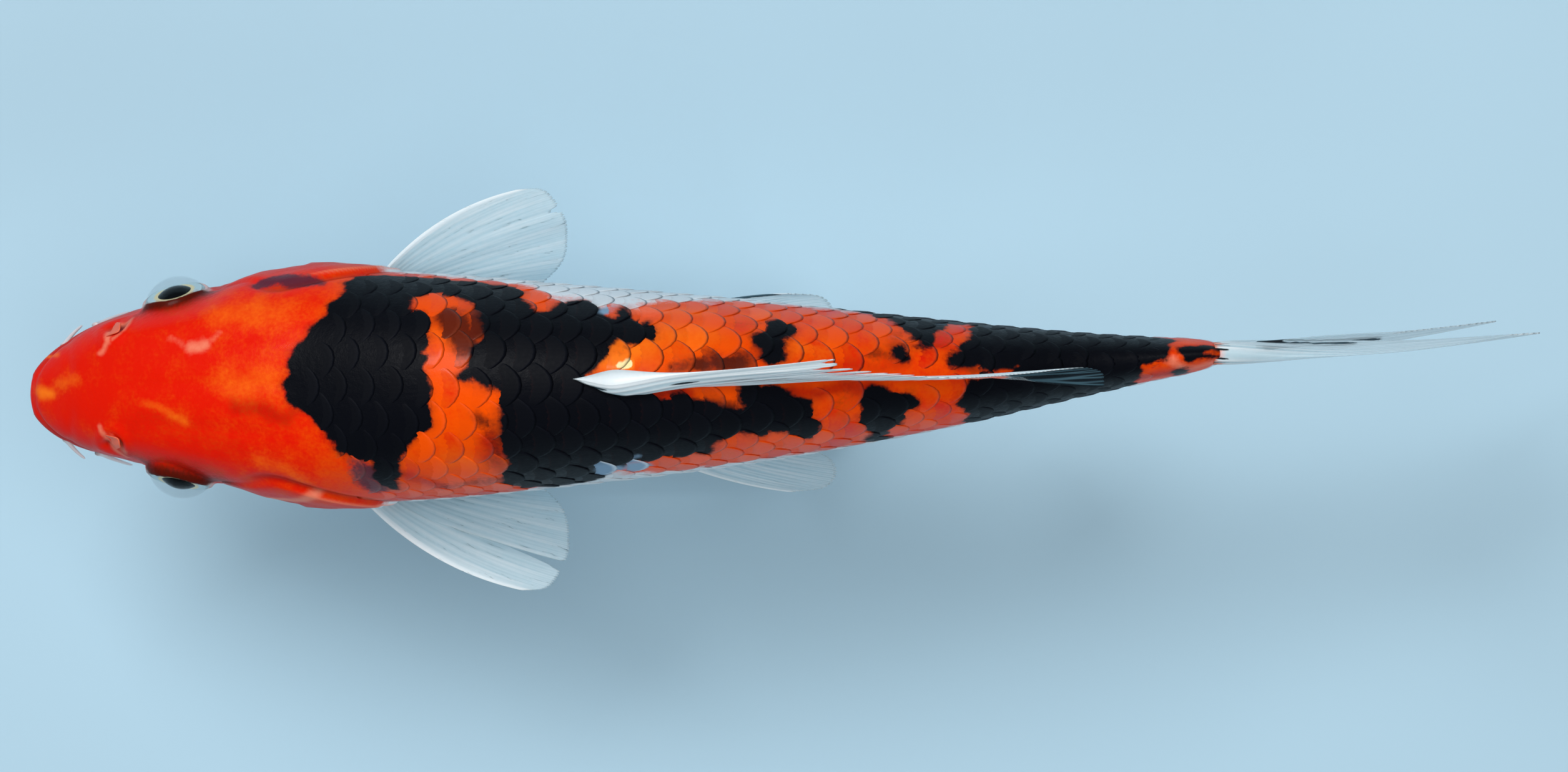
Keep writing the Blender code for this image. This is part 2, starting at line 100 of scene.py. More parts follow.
# ---- coat ----
SCALE_DEPTH = 0.30  # of the skin under the frame's surface, where scales cover it
SKIN_SINK = 0.12  # of all the skin, so that no edge of a scale or fin root shows a gap
SCALE_LENGTH = 1.46  # in steps along a row
SCALE_WIDTH = 1.5  # in steps from row to row
PATCH = 0.003  # of the unwrap, for each scale
BACK_ROW, BELLY_ROW = -99, 99  # the numbers of the two rows that lie on the middle plane

# ---- fineness of the meshes ----
SKIN_COLUMNS = 336
HEAD_RINGS, TRUNK_RINGS = 178, 105
SCALE_POINTS = 11  # along and across one scale
RAY_STEPS, REACH_STEPS = 12, 48  # across each ray of a fin, and from its root to its edge
EYE_COLUMNS = 96
FEELER_RINGS, FEELER_COLUMNS = 40, 20


# ---- curves ----
def smooth(at, knots, values):
    """A cubic curve through the knots, with the slope at each knot taken from its two neighbours."""
    knots, values = np.asarray(knots, float), np.asarray(values, float)
    slopes = np.gradient(values, knots)
    at = np.clip(at, knots[0], knots[-1])
    i = np.clip(np.searchsorted(knots, at, side="right") - 1, 0, len(knots) - 2)
    span = knots[i + 1] - knots[i]
    f = (at - knots[i]) / span
    return (
        values[i] * (1 + 2 * f) * (1 - f) ** 2
        + slopes[i] * span * f * (1 - f) ** 2
        + values[i + 1] * f**2 * (3 - 2 * f)
        - slopes[i + 1] * span * f**2 * (1 - f)
    )


def ease(at, start, end):
    """0 before start, 1 after end, and an even S between."""
    f = np.clip((at - start) / (end - start), 0, 1)
    return f * f * (3 - 2 * f)


def bump(at, middle, width):
    """A bell of height 1 about the middle."""
    return np.exp(-(((at - middle) / width) ** 2))


def unit(vectors):
    return vectors / np.maximum(np.linalg.norm(vectors, axis=-1, keepdims=True), 1e-9)


# ---- body ----
def spine(u):
    """How far the body's middle plane stands to the right."""
    return smooth(u, SWAY[:, 0], SWAY[:, 1])


def body_surface(u, t):
    """Points of the body: in each section an ellipse, swollen at its four shoulders."""
    at = BODY_STATIONS[:, 0]
    width, rise, drop = (
        np.sqrt(np.maximum(smooth(u, at, BODY_STATIONS[:, k] ** 2), 0)) for k in (1, 2, 3)
    )
    level = smooth(u, at, BODY_STATIONS[:, 4])
    shoulder = SHOULDER + (SHOULDER_TRUNK - SHOULDER) * ease(u, 50, 100)
    swell = 1 + shoulder * np.sin(2 * t) ** 2
    y = width * np.sin(t) * swell
    z = np.where(np.cos(t) > 0, rise, drop) * np.cos(t) * swell
    return np.stack([u + 0 * t, y + spine(u), level + z], axis=-1)


def body_normal(u, t):
    """Outward direction, from the surface's slopes along and around."""
    step = 0.05
    back, front = np.minimum(u + step, STEM_END), np.maximum(u - step, SNOUT)
    along = body_surface(back, t) - body_surface(front, t)
    around = body_surface(u, t + 0.01) - body_surface(u, t - 0.01)
    return unit(np.cross(along, around))


def gill_edge(t):
    """Distance from the snout of the gill cover's rear edge, which steps forward on the back and throat."""
    return GILL_EDGE - NAPE_SETBACK * np.cos(t) ** 2 - LEFT_SETBACK * ease(-np.sin(t), 0.2, 0.8)


# ---- girth: the length of the walk from the back over the flank ----
GIRTH_U = np.linspace(SNOUT + 0.2, STEM_END, 207)
GIRTH_T = np.linspace(0, math.pi, 181)
RINGS = body_surface(GIRTH_U[:, None], GIRTH_T[None, :])
GIRTH = np.cumsum(np.linalg.norm(np.diff(RINGS, axis=1, prepend=RINGS[:, :1]), axis=-1), axis=1)
HALF_GIRTH = GIRTH[:, -1]
ANGLE = np.stack([np.interp(GIRTH_T / math.pi, row / row[-1], GIRTH_T) for row in GIRTH])


def look_up(table, u, across):
    """Even blend of a table's four nearest entries; across runs from 0 to 1 over its columns."""
    i = np.clip((u - GIRTH_U[0]) / (GIRTH_U[1] - GIRTH_U[0]), 0, len(GIRTH_U) - 1.001)
    j = np.clip(across * (len(GIRTH_T) - 1), 0, len(GIRTH_T) - 1.001)
    i0, j0 = i.astype(int), j.astype(int)
    fi, fj = i - i0, j - j0
    return (
        table[i0, j0] * (1 - fi) * (1 - fj) + table[i0 + 1, j0] * fi * (1 - fj)
        + table[i0, j0 + 1] * (1 - fi) * fj + table[i0 + 1, j0 + 1] * fi * fj
    )


def girth_at(u, t):
    turned = (t + math.pi) % (2 * math.pi) - math.pi
    return np.sign(turned) * look_up(GIRTH, u, np.abs(turned) / math.pi)


def half_girth(u):
    return np.interp(u, GIRTH_U, HALF_GIRTH)


def angle_at(u, g):
    """The angle of a girth. Past the back or the belly it goes on over the other side."""
    share = g / half_girth(u)
    share = (share + 1) % 2 - 1
    return np.sign(share) * look_up(ANGLE, u, np.abs(share))


# ---- meshes ----
HEAD_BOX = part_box("head")
EYE_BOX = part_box("eye_right")
ORIGIN = np.array([
    HEAD_BOX[0].x / MM - SNOUT,
    0.0,
    (EYE_BOX[0].z + EYE_BOX[1].z) / 2 / MM - EYE_LEVEL,
])


def quads_of(rows, columns, wrapped=False):
    """Corner numbers of the quads of a grid, whose rows may close on themselves."""
    row = np.arange(rows - 1)[:, None] * columns
    j = np.arange(columns if wrapped else columns - 1)[None, :]
    beside = (j + 1) % columns
    corners = (row + j, row + beside, row + columns + beside, row + columns + j)
    return np.stack(np.broadcast_arrays(*corners), axis=-1).reshape(-1, 4)


def make_piece(name, points, quads, triangles=(), fields=None, bake=None, material=None):
    """A mesh piece from points in the fish's millimetres, turned to face outwards by its signed volume."""
    points = np.asarray(points, float).reshape(-1, 3)
    quads = np.asarray(quads, int).reshape(-1, 4)
    triangles = np.asarray(triangles, int).reshape(-1, 3)
    corners = np.concatenate([quads[:, [0, 1, 2]], quads[:, [0, 2, 3]], triangles])
    a, b, c = (points[corners[:, k]] - points.mean(axis=0) for k in range(3))
    if np.einsum("ij,ij->", a, np.cross(b, c)) < 0:
        quads, triangles = quads[:, ::-1], triangles[:, ::-1]
    loops = np.concatenate([quads.ravel(), triangles.ravel()])
    sizes = np.concatenate([np.full(len(quads), 4), np.full(len(triangles), 3)])
    mesh = bpy.data.meshes.new(name)
    mesh.vertices.add(len(points))
    mesh.vertices.foreach_set("co", ((points + ORIGIN) * MM).astype(np.float32).ravel())
    mesh.loops.add(len(loops))
    mesh.loops.foreach_set("vertex_index", loops.astype(np.int32))
    mesh.polygons.add(len(sizes))
    mesh.polygons.foreach_set("loop_start", (np.cumsum(sizes) - sizes).astype(np.int32))
    mesh.update(calc_edges=True)
    for field, values in (fields or {}).items():
        layer = mesh.attributes.new(field, "FLOAT", "POINT")
        layer.data.foreach_set("value", np.asarray(values, np.float32).ravel())
    if bake is not None:
        at = np.asarray(bake, float).reshape(-1, 2)[loops]
        seam = seam_shift(at[:, 1], sizes)
        layer = mesh.uv_layers.new(name="OFBake")
        layer.data.foreach_set("uv", np.stack([at[:, 0], at[:, 1] + seam], 1).astype(np.float32).ravel())
    mesh.shade_smooth()
    piece = bpy.data.objects.new(name, mesh)
    bpy.context.scene.collection.objects.link(piece)
    mesh.materials.append(material)
    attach(piece, "root")
    return piece


def closed_sheet(middle, half):
    """Points and quads of a closed sheet whose two faces stand off its middle grid by half its thickness."""
    off = unit(np.cross(np.gradient(middle, axis=0), np.gradient(middle, axis=1)) + 1e-9) * half[..., None]
    points = np.concatenate([middle + off, (middle - off)[:, ::-1]], axis=1)
    rows, columns = points.shape[:2]
    j = np.arange(columns // 2 - 1)
    end = np.stack([j, j + 1, columns - 2 - j, columns - 1 - j], axis=1)
    return points, np.concatenate([
        quads_of(rows, columns, wrapped=True), end[:, ::-1], end + (rows - 1) * columns,
    ])


def seam_shift(across, sizes):
    """1 for the corners of a face that crosses the seam from 1 back to 0, where they lie past it."""
    face = np.repeat(np.arange(len(sizes)), sizes)
    highest = np.zeros(len(sizes))
    np.maximum.at(highest, face, across)
    return ((highest[face] - across) > 0.5).astype(float)


def tube_ends(rows, columns):
    """Triangles from the first and the last row of a wrapped grid to two more points after it."""
    j = np.arange(columns)
    k = (j + 1) % columns
    last = (rows - 1) * columns
    first_point = rows * columns
    return np.concatenate([
        np.stack([k, j, np.full(columns, first_point)], axis=1),
        np.stack([last + j, last + k, np.full(columns, first_point + 1)], axis=1),
    ])


# ---- markings ----
# Outlines in u and g of the black patches. Each is one closed smooth curve.
BLACK_PATCHES = {
    "nape": [
        (57, 19.5), (52, 12), (48, 7), (46, 3), (46, -2.5), (49, -5), (52, -8), (54, -11.5), (57.5, -13.2),
        (60, -15), (60.8, -20), (62.6, -23.3), (64.2, -22.4), (64.6, -17.2), (65.1, -12.6), (66, -10.5),
        (68.6, -9.1), (70.3, -7.4), (70.9, -5), (70.6, -2), (69.6, 2), (70.5, 4.6), (69.6, 6.3), (70.8, 8.6),
        (70.5, 12.5), (67, 15), (66, 18),
    ],
    "flank band": [
        (56, 20), (60, 17.5), (66, 17.5), (72, 20.5), (77, 18), (84, 17), (86, 19), (85, 26), (77, 28),
        (66, 28.5), (58, 26),
    ],
    "saddle": [
        (76.5, 20), (77.6, 15.9), (79.4, 12.7), (79.7, 9.2), (77.9, 7.2), (77.1, 5.5), (77, 3.2), (75.5, 2.2),
        (75.2, 1.2), (77, 0.6), (79.6, 0.2), (82.1, -0.8), (82.9, -2.6), (82.5, -5), (81.9, -7.9),
        (82.8, -10),
        (83.4, -13), (83.1, -17), (82, -21), (82.5, -25), (86, -30), (92, -34), (97, -30), (100, -25),
        (103, -21), (108, -17.5), (113, -17.5), (117.5, -17.5), (119, -13), (121.5, -10.3), (125, -12.4),
        (129, -11), (132.5, -13.6), (136, -13.5), (136, -10), (135.4, -6), (136.1, -3.7), (134, -3.2),
        (131.2, -2), (129, -0.6), (123.6, -0.6), (123.4, -3), (124.5, -4.5), (121, -5.2), (118.9, -3.8),
        (118, -2.9), (116.2, -3), (114, -2.8), (111, -2.5), (108.6, -2.6), (106.4, -1.4), (104, -0.3),
        (99.5, 0.3), (97, 1), (98, 2.5), (101, 5.5), (102.4, 7.9), (104.2, 8.1), (107, 8.3), (109, 9),
        (109.2, 11.7), (108.4, 13.9), (105.9, 13.2), (104.9, 15.5), (103.8, 19.5), (102.5, 14.5),
        (100.5, 14), (99, 19.5), (96, 21), (93, 20.5), (92, 17), (88, 15.5), (86, 19), (82, 20),
    ],
    "beside the dorsal fin": [
        (129, 14), (132, 12.8), (133.5, 10.6), (132, 9), (131, 8), (131.5, 6), (131, 3.5), (127, 3.3),
        (127, 5.5), (125.8, 8.4), (127.5, 10.3), (128, 12),
    ],
    "left square": [
        (144, -2), (148, -2), (149, -3), (152, -3.4), (153.2, -5.5), (152, -8), (150, -11.5),
        (148.5, -14), (147.5, -19), (150, -24), (146, -25), (144, -21), (145, -16), (143.5, -9),
        (143.8, -5),
    ],
    "dot": [(148.2, 4), (149.4, 6), (151.4, 5.6), (151.8, 3.2), (149.8, 2.2)],
    "right flank": [
        (140, 27), (146, 20.5), (149, 16), (152, 9.5), (153.5, 6), (155.5, 5.5), (157, 10),
        (158.5, 13.5), (161, 15.5), (163, 19), (160, 30), (150, 34), (142, 32),
    ],
    "tail": [
        (163, 24), (163, 13.5), (162, 8), (160.5, 5), (158.2, 3), (159.6, 1.5), (163, 0.7), (168, 0.3),
        (171, 0), (168, -0.7), (162.8, -1.4), (161, -4), (160, -6.3), (162, -9), (161.5, -14), (163, -21),
        (172, -19), (182, -16), (190, -13), (191, -8), (191.5, -4), (192, -1.4), (195, -0.8),
        (196.3, 1), (197, 4), (197, 9), (190, 17), (178, 20),
    ],
    "tail root": [
        (198.4, 2.4), (201, 2.8), (205.2, 1.5), (205.4, 0.6), (202.5, 0.3), (205, -0.6), (202.6, -0.9),
        (199.5, -1.4), (198.6, 0),
    ],
    "tail root, low": [(197.5, -3.5), (199.5, -4), (200, -8), (197.5, -9)],
}
# Where orange gives way to white on the flank: u and g on either side.
WHITE_RIGHT = np.array([
    (0, 18), (20, 30), (45, 37), (60, 34), (80, 31), (87, 28), (91, 21.5), (95, 21.5), (100, 18.5),
    (105, 19.5), (110, 22), (118, 25), (130, 26), (150, 22), (170, 17), (190, 13), (199, 12.5),
    (203.8, 9), (205.5, 1.5),
])
WHITE_LEFT = np.array([
    (0, 18), (20, 30), (45, 37), (60, 35), (85, 35), (95, 27), (103, 25.5), (110, 28.5), (120, 27),
    (135, 26), (150, 23), (170, 18), (190, 13), (197, 11), (203.4, 8), (205.5, 1.5),
])
# Soft strokes: u and g of one end and of the other, how far the stroke reaches, and its strength.
# Pale scales of the skin's own colour. The faint strokes from u 156 on are painted glints on the dark scales
# of the flank.
PALE_AND_GLINT_STROKES = [
    (99.8, -21.5, 101.2, -21.5, 2.3, 1.0), (105.2, -22, 106.4, -21.8, 2.1, 1.0),
    (104, -17, 105, -16.6, 1.5, 0.6), (100.8, 16.4, 101.4, 18.6, 1.6, 0.9),
    (99.6, -24.5, 101.6, -21, 1.6, 0.9), (156, 14.6, 158, 14.2, 0.9, 0.42),
    (165, 13.9, 167.5, 13.6, 0.8, 0.45), (171, 13.5, 173, 13.3, 0.7, 0.4),
    (178.8, 9, 180.2, 8.6, 0.8, 0.4), (172, -12.3, 173.4, -12.2, 0.9, 0.4),
    (180, -14.6, 181.4, -14.3, 0.8, 0.4),
]
# Brownish patches of the skin's own colour. The stroke from u 104.5 to 113.5 beside the dorsal fin's root is
# painted shadow of the fin, and the one from u 37.3 to 42 painted shade in a hollow behind the eye.
DUSKY_AND_SHADOW_STROKES = [
    (74.6, 12.8, 76.4, 8.8, 3.3, 1.5), (157.5, 6, 159.5, 10, 2.2, 0.6), (112.4, 3.0, 117, 3.0, 1.5, 1.3),
    (119.5, 3.9, 123.6, 3.2, 1.9, 1.4), (125.2, 9, 126, 5, 1.5, 0.7), (119, -4.6, 124, -5.4, 2.0, 1.0),
    (127, -5, 130, -6, 2.0, 0.4), (78.5, -5.6, 81, -6.6, 1.7, 0.9), (82, -8, 82.6, -12, 1.6, 0.8),
    (110, -24, 116, -22, 2.2, 0.3), (120, -15, 132, -17, 2.2, 0.35), (86, 24, 87, 24, 2.2, 0.3),
    (140, -3.8, 145, -4, 1.8, 0.45), (144.2, 4.6, 147, 4.6, 1.7, 0.8), (149.8, 9.5, 149.4, 6.6, 1.9, 0.6),
    (103.6, 6.4, 104, 6.5, 0.6, 1.7), (37.3, -4.6, 42, -5.2, 2.2, 0.3), (56, -13, 59, -17, 2.0, 0.35),
    (80.8, -9, 82, -16, 2.2, 0.8), (72, -24, 83, -22.5, 2.6, 0.7), (78.8, 13.2, 79.4, 9.6, 1.6, 1.3),
    (160, 0.9, 170, 0.2, 1.2, 0.7), (104.5, -1.3, 113.5, -1.8, 1.1, 0.55), (122.5, 12.5, 126, 13, 1.6, 0.5),
    (139.5, -5, 141.2, -10, 1.6, 0.6), (166, -4.2, 173, -3.4, 1.2, 0.5),
]
SMOKY_STROKES = [
    (40.5, 20.6, 45, 22, 1.6, 1.1), (45, 22, 50.5, 21.3, 2.1, 1.1), (58, -15.5, 61, -22.5, 2.6, 0.95),
    (60, 22, 66, 24, 2.6, 0.6),
]
# Amber patches of the skin's own colour. The strongest stroke, from u 102.6 to 104.4, is a painted highlight:
# a glint on one scale near the dorsal fin's front.
AMBER_AND_GLINT_STROKES = [
    (35, 13, 44, 13, 4.2, 0.55), (37, 0, 42, 1, 4.4, 0.55), (1.6, 0.4, 3.4, 0.1, 1.3, 1.0),
    (5.1, 1.6, 7.2, 1.6, 1.7, 0.4), (3.0, 8.4, 4.6, 7.6, 0.8, 0.8),
    (20.5, -2.9, 28, -6.2, 1.1, 0.5), (100, 5, 107, 7, 3.2, 1.0), (107, 8, 116, 9, 4.2, 0.6),
    (74, -14, 82, -16, 4.0, 0.35), (41, -14, 47, -17.5, 2.6, 0.5), (70, 9, 74, 8, 3.0, 0.3),
    (102.6, 3.7, 104.4, 3.9, 1.0, 4.6), (112, 16.5, 118, 17.5, 2.4, 0.5), (133, 6, 137, 6, 2.2, 0.5),
    (108, 20, 111, 21, 1.4, 0.3), (122, 17, 128, 17, 2.2, 0.3), (133, -6.5, 135, -10, 1.6, 0.4),
]
# Pink patches of the skin's own colour. The three strokes from u 25 to 34 by the right eye are painted
# highlights on the brow.
PINK_AND_HIGHLIGHT_STROKES = [
    (29.0, 6.3, 31.4, 7.2, 1.3, 0.9), (31.4, 7.2, 34.4, 9.2, 0.9, 0.55), (25.3, 8.4, 27.8, 6.4, 0.85, 0.5),
    (41.5, -30, 49.5, -23.5, 2.0, 1.0), (56, 24, 62, 27, 2.0, 0.3), (57, -16, 63, -23, 1.6, 0.6),
    (104, 17, 112, 18, 2.4, 0.6), (146, 16, 154, 17, 2.4, 0.3), (199, -5.5, 204, -3, 2.2, 0.7),
    (200, 5, 204, 3.5, 1.6, 0.4), (12.7, 6.4, 14.0, 8.4, 0.7, 0.8), (14.0, 8.4, 14.3, 11.4, 0.9, 0.9),
    (14.5, 11.8, 16.4, 13.2, 0.8, 0.9), (16.8, 12.6, 17.2, 10.4, 0.7, 0.9), (16.8, 9.6, 15.2, 9.0, 0.6, 0.8),
    (12.4, -7.0, 13.6, -10.6, 0.8, 0.8), (13.7, -11.0, 15.6, -14.5, 0.8, 0.8),
    (14.4, -8.8, 15.9, -12.4, 0.8, 0.8), (196.8, -0.6, 199, -2.6, 1.2, 0.9),
]
# Deeper red. The strokes beside the dorsal fin's root, from u 103 to 150, are painted shadow of the fin, and
# the one from u 37 to 46 is painted shade in a hollow behind the eye.
DEEP_RED_AND_SHADE_STROKES = [
    (103, -1.6, 114, -2.2, 1.6, 1.0), (80.5, -10, 82, -18, 2.6, 0.9), (66, -18, 72, -24, 2.2, 0.7),
    (37, -3.5, 46, -5.5, 2.0, 0.7), (20, -6, 36, -11, 4.0, 0.3), (118, 4, 128, 5, 2.2, 0.5),
    (138, 2, 150, 2, 2.0, 0.5), (131, -2.5, 146, -1.5, 1.6, 0.8), (190, -6, 198, -5, 2.0, 0.8),
]
# From the head's red, at 0, to the back's orange, at 1: u and the share of orange.
WARMTH = np.array([
    (0, 0.10), (30, 0.18), (45, 0.30), (62, 0.75), (75, 0.95), (110, 1.0), (140, 0.75), (205, 0.6),
])


def closed_curve(corners, steps=6):
    """A smooth closed curve through the corners: between two of them, the cubic of their four nearest."""
    p1 = np.asarray(corners, float)
    p0, p2, p3 = np.roll(p1, 1, 0), np.roll(p1, -1, 0), np.roll(p1, -2, 0)
    f = np.linspace(0, 1, steps, endpoint=False)[None, :, None]
    p0, p1, p2, p3 = (p[:, None] for p in (p0, p1, p2, p3))
    curve = p1 + 0.5 * f * (p2 - p0 + f * (2 * p0 - 5 * p1 + 4 * p2 - p3 + f * (3 * (p1 - p2) + p3 - p0)))
    return curve.reshape(-1, 2)


def outside_by(curve, places, reach=5.0):
    """Distance of each place from a closed curve, negative inside it and no more than reach."""
    away = np.full(len(places), reach)
    near = np.all((places > curve.min(0) - reach) & (places < curve.max(0) + reach), axis=1)
    start, end = curve, np.roll(curve, -1, axis=0)
    side = end - start
    found = []
    for block in np.array_split(places[near], max(1, near.sum() // 20000)):
        off = block[:, None] - start
        share = np.clip((off * side).sum(-1) / np.maximum((side**2).sum(-1), 1e-9), 0, 1)
        distance = np.linalg.norm(off - share[..., None] * side, axis=-1).min(axis=1)
        crosses = (start[:, 1] > block[:, None, 1]) != (end[:, 1] > block[:, None, 1])
        rise = np.where(side[:, 1] == 0, 1e-9, side[:, 1])
        right = block[:, None, 0] < start[:, 0] + off[..., 1] / rise * side[:, 0]
        inside = (crosses & right).sum(axis=1) % 2 == 1
        found.append(np.where(inside, -distance, distance))
    away[near] = np.minimum(np.concatenate(found), reach) if near.any() else reach
    return away


def strokes(u, g, table):
    """The strongest of the soft strokes at each place: each fades evenly with distance from its own line."""
    total = np.zeros(u.shape)
    for u0, g0, u1, g1, reach, strength in table:
        long, broad = u1 - u0, g1 - g0
        share = np.clip(((u - u0) * long + (g - g0) * broad) / max(long**2 + broad**2, 1e-6), 0, 1)
        far = np.hypot(u - u0 - share * long, g - g0 - share * broad)
        total = np.maximum(total, strength * np.exp(-((far / reach) ** 2)))
    return total


def markings(u, g):
    """The fields that colour skin and scales alike. Distances are negative inside a patch."""
    wave_u = u + 0.35 * np.sin(0.9 * g + 0.6 * u) + 0.25 * np.sin(2.1 * g - 0.8 * u)
    wave_g = g + 0.35 * np.sin(0.8 * u - 0.5 * g) + 0.25 * np.sin(1.9 * u + 1.1 * g)
    places = np.stack([wave_u, wave_g], axis=-1).reshape(-1, 2)
    black = np.min([outside_by(closed_curve(corners), places) for corners in BLACK_PATCHES.values()], axis=0)
    drift_u = u + 0.35 * np.sin(0.75 * g + 0.4 * u) + 0.12 * np.sin(1.9 * g - 1.3 * u)
    drift_g = g + 0.35 * np.sin(0.7 * u - 0.3 * g) + 0.12 * np.sin(2.1 * u + 0.9 * g)
    white_from = np.where(g > 0, smooth(u, *WHITE_RIGHT.T), smooth(u, *WHITE_LEFT.T))
    flank = np.abs(g) / np.maximum(half_girth(u), 1)
    return {
        "black": black.reshape(u.shape),
        "white": white_from - np.abs(wave_g),
        "pale": strokes(drift_u, drift_g, PALE_AND_GLINT_STROKES),
        "dusk_and_shadow": strokes(drift_u, drift_g, DUSKY_AND_SHADOW_STROKES),
        "smoke": strokes(drift_u, drift_g, SMOKY_STROKES),
        "amber_glint": strokes(drift_u, drift_g, AMBER_AND_GLINT_STROKES),
        "pink_and_highlight": strokes(drift_u, drift_g, PINK_AND_HIGHLIGHT_STROKES),
        "warmth": smooth(u, *WARMTH.T) * (1 - 0.5 * ease(flank, 0.25, 0.5)),
        "flank": ease(flank, 0.32, 0.53),
        "deep_red_and_shade": strokes(drift_u, drift_g, DEEP_RED_AND_SHADE_STROKES),
    }


# ---- paints ----
class Value:
    """A number or colour on its way through a material. Arithmetic on it adds the nodes that work it out."""

    def __init__(self, paint, socket):
        self.paint, self.socket = paint, socket

    def __add__(self, other):
        return self.paint.math("ADD", self, other)

    def __sub__(self, other):
        return self.paint.math("SUBTRACT", self, other)

    def __rsub__(self, other):
        return self.paint.math("SUBTRACT", other, self)

    def __mul__(self, other):
        return self.paint.math("MULTIPLY", self, other)

    __radd__ = __add__
    __rmul__ = __mul__


class Paint:
    """A material of one Principled shader."""

    def __init__(self, name, **constants):
        self.material = bpy.data.materials.new(name)
        self.material.use_nodes = True
        self.tree = self.material.node_tree
        self.shader = self.tree.nodes["Principled BSDF"]
        for socket, value in constants.items():
            self.shader.inputs[socket.replace("_", " ")].default_value = value

    def node(self, kind, settings=None, inputs=None, output=0):
        node = self.tree.nodes.new("ShaderNode" + kind)
        for key, value in (settings or {}).items():
            setattr(node, key, value)
        for key, value in (inputs or {}).items():
            self.put(node.inputs[key], value)
        return Value(self, node.outputs[output])

    def put(self, socket, value):
        if isinstance(value, Value):
            self.tree.links.new(value.socket, socket)
        else:
            socket.default_value = value

    def set(self, **values):
        for socket, value in values.items():
            self.put(self.shader.inputs[socket.replace("_", " ")], value)

    def math(self, operation, *inputs):
        return self.node("Math", {"operation": operation}, dict(enumerate(inputs)))

    def field(self, name):
        return self.node("Attribute", {"attribute_name": name}, output=2)

    def noise(self, per_mm, detail=2.0):
        """Even noise about 0, of so many waves to the millimetre."""
        place = self.node("TexCoord", output=3)
        return self.node("TexNoise", None, {"Vector": place, "Scale": per_mm / MM, "Detail": detail}) - 0.5

    def step(self, value, start, end):
        """0 where value is at start, 1 where it is at end."""
        return self.node(
            "MapRange", {"interpolation_type": "SMOOTHSTEP"},
            {"Value": value, "From Min": start, "From Max": end},
        )

    def mix(self, factor, first, second, blend="MIX"):
        return self.node(
            "Mix", {"data_type": "RGBA", "blend_type": blend}, {0: factor, 6: first, 7: second}, output=2
        )

    def cover(self, base, value, start, end, strength, shade):
        """Lays a shade over the base, from none of it where value is at start to its full strength at end."""
        share = self.step(value, start, end)
        return self.mix(share * strength if strength < 1 else share, base, shade)

    def bump(self, height, distance_mm, strength):
        inputs = {"Strength": strength, "Distance": distance_mm * MM, "Height": height}
        self.set(Normal=self.node("Bump", None, inputs))


def colour(red, green, blue):
    """A colour given in the everyday 0 to 255 as the shader's linear one."""
    parts = [part / 255 for part in (red, green, blue)]
    return tuple(p / 12.92 if p < 0.04045 else ((p + 0.055) / 1.055) ** 2.4 for p in parts) + (1.0,)


RED = colour(229, 24, 2)
DEEP_RED = colour(182, 22, 2)
ORANGE = colour(240, 79, 0)
AMBER = colour(255, 122, 22)
BROWN = colour(62, 20, 12)
PINK = colour(244, 134, 104)
WHITE = colour(222, 230, 236)
ICE = colour(122, 154, 182)
BLACK = colour(9, 11, 17)
SLATE = colour(34, 38, 58)
# GLINT is the colour of that painted highlight.
GLINT = colour(255, 240, 176)
FOLD_SHADE_RED, BROW_SHADE_BROWN, LID_GREY = colour(120, 20, 10), colour(58, 16, 6), colour(208, 196, 196)
# Colours of the painted highlight on the scales' rims.
RIM_ORANGE, RIM_WHITE = colour(226, 128, 96), colour(238, 241, 243)
RIM_BLACK, RIM_ICE = colour(30, 35, 50), colour(214, 229, 240)
FIN_PALE, FIN_WHITE, SLIT_GREY = colour(190, 220, 231), colour(240, 246, 249), colour(70, 96, 106)
FLUSH_ORANGE, FIN_DARK, FIN_DARK_RAY = colour(240, 120, 70), colour(12, 24, 32), colour(84, 122, 138)


def marked(paint, tint=0.0):
    """The koi's colours from the marking fields: orange, red on the head, white below, black on top."""
    broad, fine = paint.noise(0.25), paint.noise(1.6, 4.0)
    warmth = paint.field("warmth") + broad * 0.9 + fine * 0.6 + tint
    amber_glint = paint.field("amber_glint") + broad * 0.5 + fine * 0.3 + tint * 0.3
    white = paint.field("white") + broad * 5.0 + fine * 3.0
    black_edge = paint.field("black") + fine * 0.9
    darkening = paint.cover(BLACK, paint.field("flank"), 0.1, 1.0, 0.35, SLATE)
    black = paint.step(black_edge, 0.45, -0.35)
    base = paint.cover(RED, warmth, 0.05, 0.95, 1.0, ORANGE)
    base = paint.mix((paint.field("flank") + broad * 0.5) * 0.7, base, DEEP_RED)
    for value, start, end, strength, shade in (
        # The deep red layer is partly painted shadow of the dorsal fin and painted shade behind the eye.
        (paint.field("deep_red_and_shade") + fine * 0.5, 0.1, 0.95, 0.85, DEEP_RED), (amber_glint, 0.05, 1.2, 1.0, AMBER),
        # Past 1.5 the amber field turns to GLINT, a painted highlight.
        (amber_glint, 1.5, 2.1, 1.0, GLINT), (paint.field("pink_and_highlight") + fine * 0.3, 0.2, 1.1, 1.0, PINK),
        # The pink layer just above is partly painted highlight by the right eye.
        (white, 2.2, -1.8, 1.0, WHITE), (paint.field("dusk_and_shadow") + fine * 0.5, 0.25, 1.1, 0.92, BROWN),
        # The dusky layer just above is partly painted shadow of the dorsal fin.
        (black_edge, 1.5, -0.4, 0.35, BROWN), (paint.field("smoke") + fine * 0.7, 0.2, 0.85, 0.88, SLATE),
        (black_edge, 0.45, -0.35, 1.0, darkening), (paint.field("pale"), 0.25, 0.8, 1.0, ICE),
    # The pale layer just above is partly painted glints on the flank.
    ):
        base = paint.cover(base, value, start, end, strength, shade)
    return base, black, fine


